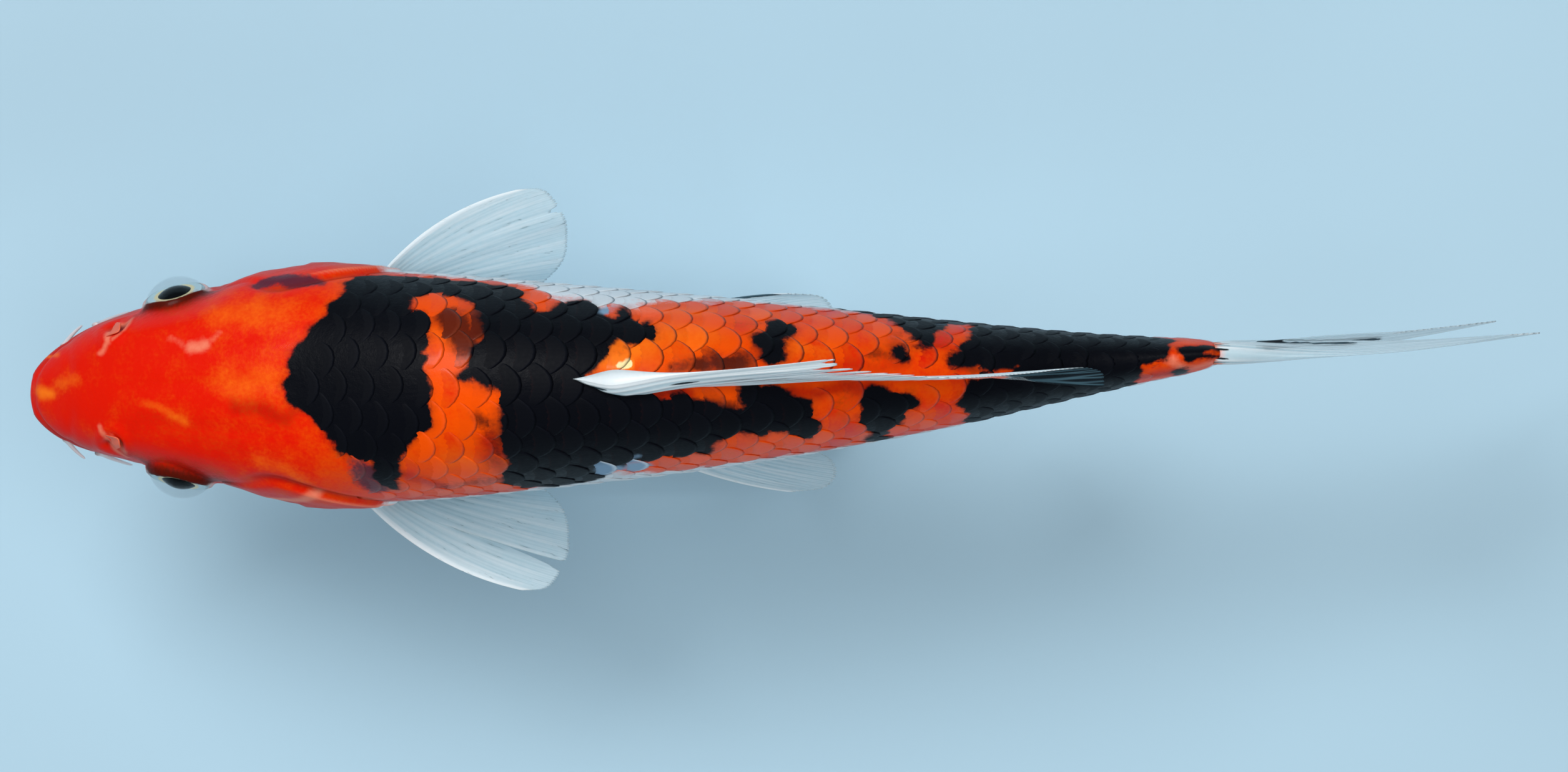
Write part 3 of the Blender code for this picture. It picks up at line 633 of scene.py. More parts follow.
def skin_paint():
    paint = Paint("koi_skin", Coat_Roughness=0.12, Specular_IOR_Level=0.06)
    base, black, fine = marked(paint)
    # Painted shade in the folds, pits and grooves of the head.
    base = paint.cover(base, paint.field("fold"), 0.0, 1.0, 0.75, FOLD_SHADE_RED)
    # Painted shade over the brow beside each eye.
    base = paint.cover(base, paint.field("brow") + fine * 0.35, 0.12, 1.0, 0.95, BROW_SHADE_BROWN)
    base = paint.cover(base, paint.field("rim"), 0.0, 1.0, 0.7, PINK)
    base = paint.cover(base, paint.field("lid") + fine * 0.4, 0.15, 0.9, 0.8, LID_GREY)
    paint.set(Base_Color=base, Roughness=0.42 + fine * 0.25, Coat_Weight=0.04 - black * 0.04)
    paint.bump(paint.noise(0.9, 3.0) + paint.noise(3.5, 3.0) * 0.4, 0.12, 0.6)
    return paint.material


def scale_paint():
    paint = Paint("koi_scales", Coat_Roughness=0.12, Specular_IOR_Level=0.08)
    along, across, tone = (paint.field(name) for name in ("along", "across", "tone"))
    base, black, fine = marked(paint, (tone - 0.5) * 0.5)
    # Painted highlight: a paler rim along each scale's free edge, stronger towards the flank, white on pale
    # scales and dark blue-grey on black ones.
    rim = paint.step(along + fine * 0.1, 0.84, 1.0)
    rim_highlight = paint.cover(RIM_ORANGE, paint.field("white"), 1.5, -1.0, 1.0, RIM_WHITE)
    rim_highlight = paint.mix(black, rim_highlight, RIM_BLACK)
    base = paint.mix(rim * (0.06 + paint.field("flank") * 0.34), base, rim_highlight)
    base = paint.mix(rim * paint.step(paint.field("pale"), 0.25, 0.8) * 0.7, base, RIM_ICE)
    # Painted shade: browner towards each scale's root, where the scale ahead overlaps it.
    base = paint.cover(base, along, 0.6, 0.38, 0.32, BROWN)
    shade = 0.9 + tone * 0.18
    shade = paint.node("CombineColor", None, {0: shade, 1: shade, 2: shade})
    base = paint.mix(1.0, base, shade, "MULTIPLY")
    paint.set(Base_Color=base, Roughness=0.38 + fine * 0.2 + black * 0.18, Coat_Weight=0.12 - black * 0.12)
    fan, rings = paint.math("SINE", across * 30.0), paint.math("SINE", along * 60.0 + across * across * 12.0)
    paint.bump(fan * 0.15 + rings * 0.15 + fine, 0.03, 0.35)
    return paint.material


def fin_paint():
    paint = Paint("fin_rays", Roughness=0.38, Coat_Weight=0.25, IOR=1.4)
    ray, lane, veil = (paint.field(name) for name in ("ray", "lane", "veil"))
    fine = paint.noise(1.2, 3.0)
    slit = paint.step(paint.field("slit") + fine * 0.5, 0.45, 0.95)
    flushed = paint.step(paint.field("flush") + fine * 0.5 + ray * 0.15, 0.25, 0.9)
    # This field darkens the fins with dark marks; on the tail's two lobes it also carries painted shade in
    # the gap between them.
    darkening = paint.step(paint.field("darkening") + fine * 0.6, 0.35, 0.7)
    base = paint.mix(ray * 0.7 + lane * 0.3 + fine * 0.3, FIN_PALE, FIN_WHITE)
    base = paint.mix(slit * 0.8, base, SLIT_GREY)
    base = paint.mix(flushed, base, FLUSH_ORANGE)
    base = paint.mix(darkening, base, paint.cover(FIN_DARK, ray, 0.3, 1.0, 0.5, FIN_DARK_RAY))
    alpha = paint.math(
        "MINIMUM", veil + ray * 0.16 + lane * 0.12 + slit * 0.2 + flushed * 0.5 + darkening * 0.8, 1.0
    )
    paint.set(Base_Color=base, Alpha=alpha, Roughness=0.4 + darkening * 0.25, Coat_Weight=0.2 - darkening * 0.2)
    return paint.material


def plain(name, shade, **constants):
    return Paint(name, Base_Color=shade, **constants).material


# ---- skin ----
EYE_OUT, HEAD_SHIFT = 13.1, 0.9  # of the eyes' middles, and how far the head lies to the right there
EYE_UP, EYE_FORWARD = {1: 20, -1: 14}, 13  # in degrees: how far each eye, right and left, looks up and ahead
LID_OPENING, LID_DROOP = 62, 12  # in degrees from the way the eye looks, and how much less at the brow
EYE_RADIUS = 6.2
IRIS_OUT = 3.3  # of the iris's face from the eye's middle
PUPIL_RADIUS = 3.3
LENS_RADIUS, LENS_RISE = 4.8, 1.3  # of the pupil's bulge, and how far it stands off the iris's face
NOSTRILS = {"right": (14.7, 11.6), "left": (14.2, -10.8)}
MOUTH_TOP = (-4.0, -7.6)  # u and z of the slit between the lips, seen from the side
MOUTH_CORNER = (10.5, -11.2)
COVER_MIDDLE = (48.5, -4.5)  # the gill cover's oval, seen from the side
COVER_RADII = (16.0, 11.5, 14.5)  # towards the tail, towards the cheek, up and down
COVER_LEAN = 1.8


def eye_middle(sign):
    return np.array([EYE_U, sign * EYE_OUT + HEAD_SHIFT, EYE_LEVEL])


def eye_axes(sign):
    """Directions at right angles: the way the eye looks, up across its face, and back along the head."""
    up, forward = math.radians(EYE_UP[sign]), math.radians(EYE_FORWARD)
    level = math.cos(up)
    look = np.array([-math.sin(forward) * level, sign * math.cos(forward) * level, math.sin(up)])
    rise = unit(np.array([0, 0, 1.0]) - look * look[2])
    return look, rise, np.cross(rise, look) * sign


def cover_oval(u, z):
    """1 on the gill cover's edge, less inside it; and -1 to 1 from its cheek side to its rear."""
    level = (z - COVER_MIDDLE[1]) / COVER_RADII[2]
    off = u - COVER_MIDDLE[0] + COVER_LEAN * level
    length = np.where(off > 0, COVER_RADII[0], COVER_RADII[1])
    size = np.hypot(off / length, level)
    return size, off / length / np.maximum(size, 1e-6)


def head_relief(u, t):
    """How far the skin stands off the body's form: lips, folds, nostrils, brows, cheeks and gill covers."""
    place = body_surface(u, t)
    z, g = place[..., 2], girth_at(u, t)
    slope = (MOUTH_CORNER[1] - MOUTH_TOP[1]) / (MOUTH_CORNER[0] - MOUTH_TOP[0])
    off = z - (MOUTH_TOP[1] + (u - MOUTH_TOP[0]) * slope)
    mouth = 1 - ease(u, MOUTH_CORNER[0] - 1.0, MOUTH_CORNER[0] + 1.5)
    slit = mouth * bump(off, 0, 0.5)
    relief = mouth * (0.5 * bump(off, 1.5, 1.0) + 0.45 * bump(off, -1.6, 1.0)) - 1.1 * slit
    relief -= mouth * (0.3 * bump(off, 3.5, 0.6) + 0.35 * bump(off, -3.8, 0.7))
    # The fold that runs back and down from the corner of the mouth, and the one behind the upper lip.
    along = np.clip((u - 9.5) / 9.0, 0, 1)
    fold = bump(z, -11.0 - 7.5 * along**1.3, 0.8) * ease(u, 8.5, 10.5) * (1 - ease(u, 16, 19))
    relief -= 0.5 * fold
    crease = bump(u, 7.2 - 0.10 * np.abs(g), 0.9) * ease(np.abs(g), 1.0, 5.0) * (1 - ease(np.abs(g), 13, 17))
    relief -= 0.18 * crease
    # A low ridge from the snout to the brow, hollows either side of the crown, and the crown's own line.
    ridge = bump(np.abs(g), 7.5 + 0.24 * (u - 8), 2.4) * ease(u, 6, 14) * (1 - ease(u, 30, 42))
    relief += 0.22 * ridge - 0.16 * bump(g, 0, 1.6) * ease(u, 12, 20) * (1 - ease(u, 44, 50))
    relief -= 0.2 * bump(np.abs(g), 4.4 + 0.1 * u, 1.6) * ease(u, 18, 26) * (1 - ease(u, 38, 47))
    # Nostrils: a front and a rear opening either side of a flap.
    pits = np.zeros(u.shape)
    for u0, g0 in NOSTRILS.values():
        for back, depth, wide in ((-1.0, 0.75, 0.75), (1.15, 0.95, 0.95)):
            pits = np.maximum(pits, depth * np.exp(-((u - u0 - back) ** 2 + ((g - g0) * 0.7) ** 2) / wide**2))
        relief += 0.35 * np.exp(-((np.hypot(u - u0, (g - g0) * 0.75) - 2.6) / 0.8) ** 2)
    relief -= pits
    # The cheek's groove under and behind the eye, and the edge of the cheek plate.
    from_eye = np.hypot(u - EYE_U, z - EYE_LEVEL)
    low = ease(-(z - EYE_LEVEL), -2, 5)
    groove = bump(from_eye, 9.4, 0.7) * low * ease(np.abs(t), 0.6, 0.9)
    relief -= 0.28 * groove
    size, rear = cover_oval(u + LEFT_SETBACK * ease(-np.sin(t), 0.2, 0.8), z)
    side = ease(np.abs(place[..., 1] - spine(u)), 9.5, 12.5)
    plate = (1 - ease(size, 0.95, 1.04)) * side
    relief += plate * (0.25 + 0.4 * ease(rear, -0.4, 0.5)) - 0.15 * bump(size, 0.55, 0.3) * side
    edge_groove = bump(size, 1.085, 0.065) * side * ease(rear, -1.0, -0.2) * (1 - ease(u, 60, 64) * 0.4)
    relief -= 0.55 * edge_groove
    relief -= 0.35 * bump(size, 1.0, 0.05) * side * ease(-rear, 0.1, 0.6)
    relief += 0.03 * np.sin(size * 17 + 2.2 * rear) * plate
    # The throat's gill membranes meet under the head.
    membrane = bump(np.abs(g) - half_girth(u), -3.0 - 0.09 * np.abs(u - 20), 0.9)
    relief -= 0.5 * membrane * ease(u, 16, 24) * (1 - ease(u, 50, 58))
    # Painted shade: the field below darkens the skin's colour in the mouth's slit, the folds, the nostril
    # pits and the grooves.
    folds = np.clip(slit + 0.7 * fold + pits * 0.8 + 0.35 * groove + 0.55 * edge_groove, 0, 1)
    rims = np.clip(plate * bump(size, 0.965, 0.03) * ease(rear, -0.1, 0.5), 0, 1)
    return relief, folds, rims


def around_eyes(places):
    """Sinks the skin under each eye's opening and gathers it into a lid round the edge.

    Along the line out from the eye's middle, the skin lies inside the ball within the opening, stands just
    proud of the ball at the opening's edge, and eases back to the body's own form over the brow and cheek.
    """
    shade, lid_rim = np.zeros(places.shape[:-1]), np.zeros(places.shape[:-1])
    for sign in (1, -1):
        look, rise, back = eye_axes(sign)
        off = places - eye_middle(sign)
        far = np.linalg.norm(off, axis=-1)
        out = off / np.maximum(far, 1e-6)[..., None]
        angle = np.degrees(np.arccos(np.clip(out @ look, -1, 1)))
        upward = out @ rise / np.maximum(np.sin(np.radians(angle)), 1e-3)
        opening = LID_OPENING - LID_DROOP * ease(upward, -0.1, 0.9)
        past = angle - opening
        sunk = np.minimum(EYE_RADIUS - 0.9, (IRIS_OUT - 0.6) / np.maximum(np.cos(np.radians(angle)), 0.3))
        lid = EYE_RADIUS + 0.32 + (sunk - EYE_RADIUS - 0.32) * (1 - ease(past, -4, 1))
        blend = ease(past, 2, 34)
        target = np.where(past < 2, lid, np.maximum(lid * (1 - blend) + far * blend, EYE_RADIUS + 0.35))
        target -= 0.12 * bump(past, 17, 5.0) * (past > 2)
        near = (1 - ease(angle, 95, 120)) * (1 - ease(far, 12, 16)) * ease(off[..., 1] * sign, -7, -2.5)
        places = eye_middle(sign) + out * (far + (target - far) * near)[..., None]
        reach = 17 if sign > 0 else 25
        # Painted shade on the brow side of each eye's rim, broader by the left eye.
        shade = np.maximum(shade, bump(past, 3, reach) * near * ease(upward, -0.1, 0.4))
        lid_rim = np.maximum(lid_rim, bump(past, 1, 7) * near * (1 - ease(upward, 0.1, 0.6)))
    return places, shade, lid_rim


def unwrapped(u, t):
    """Where a place of the body lies on the unwrap of its own form, which is cut open along the belly."""
    return (u - SNOUT) / (STEM_END - SNOUT), (t + math.pi) / (2 * math.pi)


def make_skin(material):
    """One closed skin over head, trunk and tail stem: rings close together over the head."""
    rows = np.concatenate([
        SNOUT + 0.02 + 0.6 * (1 - np.cos(np.linspace(0, math.pi / 2, 8, endpoint=False))),
        np.linspace(SNOUT + 0.62, GILL_EDGE + 5, HEAD_RINGS)[1:],
        np.linspace(GILL_EDGE + 5, STEM_END, TRUNK_RINGS)[1:],
    ])
    around = np.linspace(-math.pi, math.pi, SKIN_COLUMNS, endpoint=False)
    u, t = np.broadcast_arrays(rows[:, None], around[None, :])
    relief, folds, rims = head_relief(u, t)
    on_back = ease(np.cos(t), 0.2, 0.7)
    trunk = ease(u, gill_edge(t) - 0.3 - 7 * on_back, gill_edge(t) + 0.5 + on_back)
    snout = ease(u, SNOUT, SNOUT + 1.2)
    sunk = (SCALE_DEPTH * trunk + SKIN_SINK) * (1 - ease(u, STEM_END - 12, STEM_END - 1))
    lift = relief * snout - sunk
    places = body_surface(u, t) + body_normal(u, t) * lift[..., None]
    places, shade, lid_rim = around_eyes(places)
    fields = markings(u, girth_at(u, t))
    fields["fold"], fields["rim"], fields["brow"], fields["lid"] = folds, rims, shade, lid_rim
    ends = np.stack([places[0].mean(axis=0), places[-1].mean(axis=0)])
    for name, values in fields.items():
        fields[name] = np.concatenate([values.ravel(), [values[0].mean(), values[-1].mean()]])
    bake = np.concatenate([np.stack(unwrapped(u, t), -1).reshape(-1, 2), [[0, 0.5], [1, 0.5]]])
    piece = make_piece(
        "koi_skin", np.concatenate([places.reshape(-1, 3), ends]),
        quads_of(len(rows), SKIN_COLUMNS, wrapped=True), tube_ends(len(rows), SKIN_COLUMNS), fields, bake,
        material,
    )
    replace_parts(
        piece, "head", "lower_jaw", "gill_cover_right", "gill_cover_left", "trunk_front", "trunk_rear",
        "tail_stem",
    )


# ---- scales ----
def scale_places():
    """Where each scale is rooted: its u, its row's offset from the flank's mid line in rows, and its side.

    Rows run along the body either side of the mid line of each flank. Each row is set half a step off its
    neighbours. A single row closes the back behind the head and behind the dorsal fin, and one the belly.
    """
    steps = np.array([GILL_EDGE - 24.0])
    while steps[-1] < STEM_END - 3:
        steps = np.append(steps, steps[-1] + scale_step(steps[-1]) / 2)
    found = []
    for side in (1, -1):
        for row in range(-8, 9):
            u = steps[(row % 2)::2]
            g = row_girth(u + 0.7 * scale_step(u), row)
            clear = 0.5 * row_step(u)
            keep = (g > clear) & (g < half_girth(u) - clear)
            found.append(np.stack([u, u * 0 + row, u * 0 + side], axis=1)[keep])
    u = steps[1::2]
    for row, fin_from, fin_to in ((BACK_ROW, 94, 170), (BELLY_ROW, 146, 164)):
        found.append(np.stack([u, u * 0 + row, u * 0 + 1], axis=1)[(u < fin_from) | (u > fin_to)])
    found = np.concatenate(found)
    u, row, side = found.T
    t = angle_at(u, row_girth(u, row) * side)
    return found[(u > gill_edge(t) - 2.2) & (u < STEM_END - scale_step(u))]


def scale_step(u):
    return smooth(u, [40, 66, 94, 150, 180, 205], [4.6, 4.9, 5.3, 5.0, 4.5, 4.2])


def row_step(u):
    return smooth(u, [40, 66, 94, 120, 150, 180, 205], [5.3, 5.3, 5.35, 5.2, 4.8, 4.2, 3.8])


def row_girth(u, row):
    on_flank = half_girth(u) / 2 + np.clip(row, -20, 20) * row_step(u)
    return np.where(row == BACK_ROW, 0, np.where(row == BELLY_ROW, half_girth(u), on_flank))


def scale_form():
    """The grid of one scale, as a closed lens: two faces that share their rim."""
    points = SCALE_POINTS
    top = np.arange(points**2).reshape(points, points)
    under = top.copy()
    under[1:-1, 1:-1] = points**2 + np.arange((points - 2) ** 2).reshape(points - 2, points - 2)
    corners = quads_of(points, points)
    quads = np.concatenate([top.ravel()[corners], under.ravel()[corners][:, ::-1]])
    across = np.sin(np.linspace(-1, 1, points) * math.pi / 2)
    a, b = np.meshgrid(np.linspace(0, 1, points) ** 0.8, across, indexing="ij")
    inner = (slice(1, -1), slice(1, -1))
    a, b = (np.concatenate([part.ravel(), part[inner].ravel()]) for part in (a, b))
    face = np.concatenate([np.ones(points**2), np.zeros((points - 2) ** 2)])
    rim = np.ones((points, points))
    rim[inner] = 0
    face[: points**2][rim.ravel() > 0] = 0.5
    return a, b, face, quads


def make_scales(material):
    """Overlapping scales in rows. Each lies along its row, rooted in the skin and lifting to its free edge.

    A scale's far edge is round, its length shrinking towards its sides as 1 - 0.42 b^2.2, where b runs from
    -1 to 1 across it. Its height over the skin climbs evenly from root to free edge, with a low dome.
    """
    places = scale_places()
    a, b, face, quads = scale_form()
    random = np.random.default_rng(7)
    tone = random.random(len(places))
    u0, row, side = places[:, :1], places[:, 1:2], places[:, 2:3]
    tail = ease(u0, STEM_END - 14, STEM_END - 4)
    length = SCALE_LENGTH * scale_step(u0) * (0.96 + 0.08 * random.random(u0.shape)) * (1 - 0.25 * tail)
    width = SCALE_WIDTH * row_step(u0) * (0.97 + 0.06 * random.random(u0.shape))
    u = u0 + length * a * (1 - 0.42 * np.abs(b) ** 2.2)
    middle = row_girth(u, row) * side
    jitter = 0.12 * (random.random(u0.shape) - 0.5)
    g = middle + b * width / 2 * (0.94 + 0.06 * a) + jitter * a * length
    u = np.minimum(u, STEM_END + 1.2)
    bold = 0.55 + 0.45 * ease(u0, 52, 88) - 0.4 * ease(u0, 130, 165)
    climb = -0.24 + bold * (0.32 * a + 0.06 * (1 - b**2) * a) + 0.1 * (1 - bold)
    thick = np.where(face == 1, 0.05, np.where(face == 0, -0.10, 0.0))
    pore = 0.16 * (row == 0) * (face == 1) * bump(b, 0, 0.16) * ease(a, 0.3, 0.5) * (1 - ease(a, 0.8, 0.95))
    rise = climb + thick + pore - 0.10 * ease(np.abs(b), 0.75, 1.0)
    lift = rise - (SCALE_DEPTH + SKIN_SINK) * (1 - 0.8 * ease(u0, STEM_END - 16, STEM_END - 4))
    body_u = np.minimum(u, STEM_END)
    t = angle_at(body_u, g)
    points = body_surface(body_u, t) + body_normal(body_u, t) * lift[..., None]
    points[..., 0] += np.maximum(u - STEM_END, 0)
    own = markings(u, girth_at(u, t))
    # Part of each colour is the scale's own, taken at its heart.
    heart_u, heart_g = u0 + 0.72 * length, middle.mean(axis=1, keepdims=True)
    heart = markings(heart_u, girth_at(heart_u, angle_at(heart_u, heart_g)))
    shares = {"black": 0.35, "white": 0.5, "dusk_and_shadow": 0.55, "amber_glint": 0.5, "pale": 0.6, "pink_and_highlight": 0.4, "smoke": 0.4}
    fields = {name: own[name] + (heart[name] - own[name]) * shares.get(name, 0) for name in own}
    fields.update(along=a + 0 * u0, across=b + 0 * u0, tone=tone[:, None] + 0 * a)
    along, across = unwrapped(u0, angle_at(u0, heart_g))
    bake = np.stack([along + PATCH * (a - 0.5), across + PATCH * b / 2], axis=-1)
    bake = np.clip(bake, 0.0005, 0.9995)
    order = np.argsort(u0[:, 0], kind="stable")
    for number, group in enumerate(np.array_split(order, 3)):
        first = np.arange(len(group))[:, None, None] * len(a)
        make_piece(
            f"scales_{('front', 'middle', 'rear')[number]}", points[group], (quads + first).reshape(-1, 4),
            fields={name: values[group] for name, values in fields.items()}, bake=bake[group],
            material=material,
        )


# ---- fins ----
def root_line(f, u_from, u_to, degrees_from, degrees_to, lift):
    u = u_from + (u_to - u_from) * f
    t = np.radians(degrees_from + (degrees_to - degrees_from) * f)
    return body_surface(u, t) + body_normal(u, t) * lift


def ray_ridge(f, s, rays):
    """1 along the crest of each ray, 0 between. Towards the edge a ray parts in two, and again in two."""
    off = np.abs((f * rays) % 1 - 0.5)
    off = np.abs(off - 0.25 * ease(s, 0.25, 0.85))
    off = np.abs(off - 0.115 * ease(s, 0.6, 1.0))
    width = 0.26 - 0.185 * ease(s, 0.2, 1.0)
    return np.exp(-((off / width) ** 2))


def make_fin(
    name, edge, rays, veil, slits, darkening=0, flush=0, swell=0, ragged=0, thick=0.5, ribbed=0.22, leading=1,
):
    """A fin as a closed sheet of rays between its root line and its free edge, bowed between the two.

    On its grid f runs along the root line and s from root to edge, both from 0 to 1. What varies over the fin
    is given as a function of both. The middle of the sheet goes evenly from root to edge, plus a bow of
    4 s (1 - s) times the sag. The two faces stand off it by half the thickness, which thins from root to edge
    and swells along each ray.
    """
    line, s = np.linspace(0, 1, rays * RAY_STEPS + 1), np.linspace(0, 1, REACH_STEPS)[:, None]
    f = line + 0 * s
    veil, darkening, flush, swell, ragged = (
        (part(f, s) if callable(part) else part) + 0 * f for part in (veil, darkening, flush, swell, ragged)
    )
    roots, tips, sag = edge(line)
    ridge = ray_ridge(f, s, rays)
    reach = 1 + 0.02 * (ridge - 0.6) * ease(s, 0.85, 1.0)
    reach = reach - ragged * (0.5 + 0.5 * np.cos(2 * math.pi * f * rays)) * ease(s, 0.5, 1.0)
    share = (s * reach)[..., None]
    bow = np.broadcast_to(sag, roots.shape) * (4 * share * (1 - share))
    middle = roots * (1 - share) + tips * share + bow
    outer = np.minimum(ease(f, -0.001, 0.03), ease(1 - f, -0.001, 0.03))
    half = thick * (1 - 0.62 * s) * (0.48 - ribbed + ribbed * ridge) * (0.35 + 0.65 * outer) + swell
    points, quads = closed_sheet(middle, half)
    number, lead = np.floor(f * rays), leading * bump(f, 0, 0.07)
    lane = 0.5 + 0.5 * np.sin(2.4 * number + 2.0 * np.floor(2 * f * rays))
    wander = 0.10 * np.sin(s * 34 + 5 * number) + 0.06 * np.sin(s * 71 + f * 40)
    off = np.abs((f * rays + wander + 0.5) % 1 - 0.5)
    broken = ease(np.sin(s * 13 + 11 * np.floor(f * rays + 0.5)), -0.2, 0.3)
    fields = {
        "ray": np.maximum(ridge * (0.1 + 4 * ribbed), lead),
        "lane": lane * (0.6 + 0.4 * np.sin(7 * s + 3 * number)),
        "slit": slits * bump(off, 0, 0.07) * ease(s, 0.08, 0.25) * (0.25 + 0.75 * broken),
        "veil": veil + 0.4 * bump(s, 0, 0.1) + 0.3 * lead,
        "flush": flush, "darkening": darkening,
    }
    fields = {key: np.concatenate([value, value[:, ::-1]], axis=1) for key, value in fields.items()}
    piece = make_piece(name + "_rays", points, quads, fields=fields, material=FIN)
    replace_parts(piece, name)


def back_of(u, lean, height):
    top = body_surface(u, 0 * u)
    return top + np.stack([0 * u, lean, height], axis=-1)


def dorsal_edge(f):
    # Across the fin: the edge's u, and how far it leans from the spine.
    across, u, lean = np.transpose([
        (0, 138.5, 3.3), (0.05, 139.5, 2.9), (0.09, 140, 1.9), (0.13, 143, 1.4), (0.19, 147, 0.7),
        (0.27, 151, 0.3), (0.36, 155, -0.3), (0.5, 160, -0.8), (0.65, 166, -0.85), (0.78, 173.5, -0.7),
        (0.86, 178.5, -0.5), (0.91, 182, -0.6), (0.95, 184.5, -1.5), (1, 185, -4.0),
    ])
    u, lean = smooth(f, across, u), smooth(f, across, lean)
    height = smooth(f, (0, 0.15, 0.3, 0.6, 0.85, 1), (12.5, 10, 8, 6.5, 5, 2.2))
    bow = -0.5 * bump(f, 0, 0.06) - 0.5 * ease(f, 0.9, 1)
    sag = np.stack([0 * f, bow, 0.6 * smooth(f, (0, 0.5, 1), (4, 2, 1.2))], axis=-1)
    roots = root_line(f, 95, 168, 0, 0, 0.2)
    places = (0, 0.06, 0.115, 0.265, 0.395, 0.525, 0.655, 0.785, 0.915, 1)
    roots[:, 1] += smooth(f, places, (1.0, 0.2, -0.3, -0.1, 0.0, 0.3, -0.2, -0.6, -0.9, -1.0))
    return roots, back_of(u, lean, height), sag


def anal_edge(f):
    u, z = (smooth(f, (0, 0.3, 1), values) for values in ((173, 177, 180), (-36, -32, -22)))
    tips = np.stack([u, spine(u) + 0.8, z], axis=-1)
    return root_line(f, 150, 163, 180, 180, 0.2), tips, np.array([1.5, 0, -0.8])


def tail_edge(sign, tip_u, tip_z, turn):
    def edge(f):
        level = spine(STEM_END)
        roots = np.stack([0 * f + STEM_END - 0.8, 0 * f + level, sign * (0.25 + 10.95 * f)], axis=-1)
        knots = (0, 0.25, 0.6, 0.85, 1)
        u = smooth(f, knots, (236, 241.5, tip_u - 3, tip_u, tip_u - 5))
        z = sign * tip_z * smooth(f, knots, (0.02, 0.27, 0.68, 0.93, 1))
        y = level + (turn - level) * (u - STEM_END) / (tip_u - STEM_END)
        sag = np.stack([0 * f, 0.9 - 2.6 * f, sign * 1.3 * f], axis=-1)
        return roots, np.stack([u, y, z], axis=-1), sag
    return edge


def pectoral_edge(sign, split, spread):
    def edge(f):
        knots = (0, 0.15, 0.33, 0.41, 0.6, 0.85, 1)
        roots = root_line(f, 60.2 - 2.2 * spread, 66.2, sign * (112 - 2.5 * spread), sign * 130, 0.0)
        u = smooth(f, knots, (84.5, 88.5, 91.2, 92.2, 92.8, 91.2, 87)) - 0.5 * spread
        y = smooth(f, knots, (34.3, 34.3, 31.8, 30, 26.5, 20.8, 17)) + spread * (1 - f)
        tips = np.stack([u, sign * y, smooth(f, knots, (-12.5, -13, -14, -14.6, -16.5, -19, -21.5))], axis=-1)
        tips += (roots - tips) * (split * bump(f, 0.37, 0.018))[:, None]
        bow = smooth(f, (0, 0.5, 1), (2.1, 0.5, 0))
        return roots, tips, np.stack([-0.5 * bow, sign * bow, 0 * f + 0.9], axis=-1)
    return edge


def pelvic_edge(sign, out):
    def edge(f):
        knots = (0, 0.3, 0.7, 1)
        u = smooth(f, knots, (131, 137.5, 138.5, 132))
        y = smooth(f, knots, (out, out - 0.8, out - 5.5, out - 9))
        tips = np.stack([u, sign * y, smooth(f, knots, (-30.5, -32, -34.5, -35.5))], axis=-1)
        bow = np.stack([0 * f, sign * smooth(f, (0, 0.5, 1), (1.8, 1.0, 0.2)), 0 * f - 1.0], axis=-1)
        return root_line(f, 99.5, 104, sign * 152, sign * 164, 0.5), tips, bow
    return edge


def shade_line(knots, width, start, end, parting):
    """A line of painted shade between the tail's two lobes, along one lobe through knots of (s, f), thin
    where it parts.
    """
    def darkening(f, s):
        line = bump(f, smooth(s, *np.transpose(knots)), width) * ease(s, *start) * (1 - ease(s, *end))
        return 1.4 * line * (1 - parting * bump(s, 0.47, 0.012))
    return darkening


# Painted shade in the gap between the tail's two lobes: one line on each lobe.
UPPER_SHADE_LINE = shade_line(
    [(0.26, 0), (0.36, 0.02), (0.42, 0.06), (0.5, 0.12), (0.53, 0.18), (0.58, 0.22), (0.69, 0.2)],
    0.08, (0.26, 0.32), (0.62, 0.7), 0.4,
)
LOWER_SHADE_LINE = shade_line(
    [(0.24, 0), (0.33, 0.02), (0.41, 0.12), (0.45, 0.22), (0.49, 0.35), (0.52, 0.44), (0.56, 0.51),
     (0.62, 0.55), (0.68, 0.5)],
    0.1, (0.24, 0.27), (0.62, 0.66), 0,
)


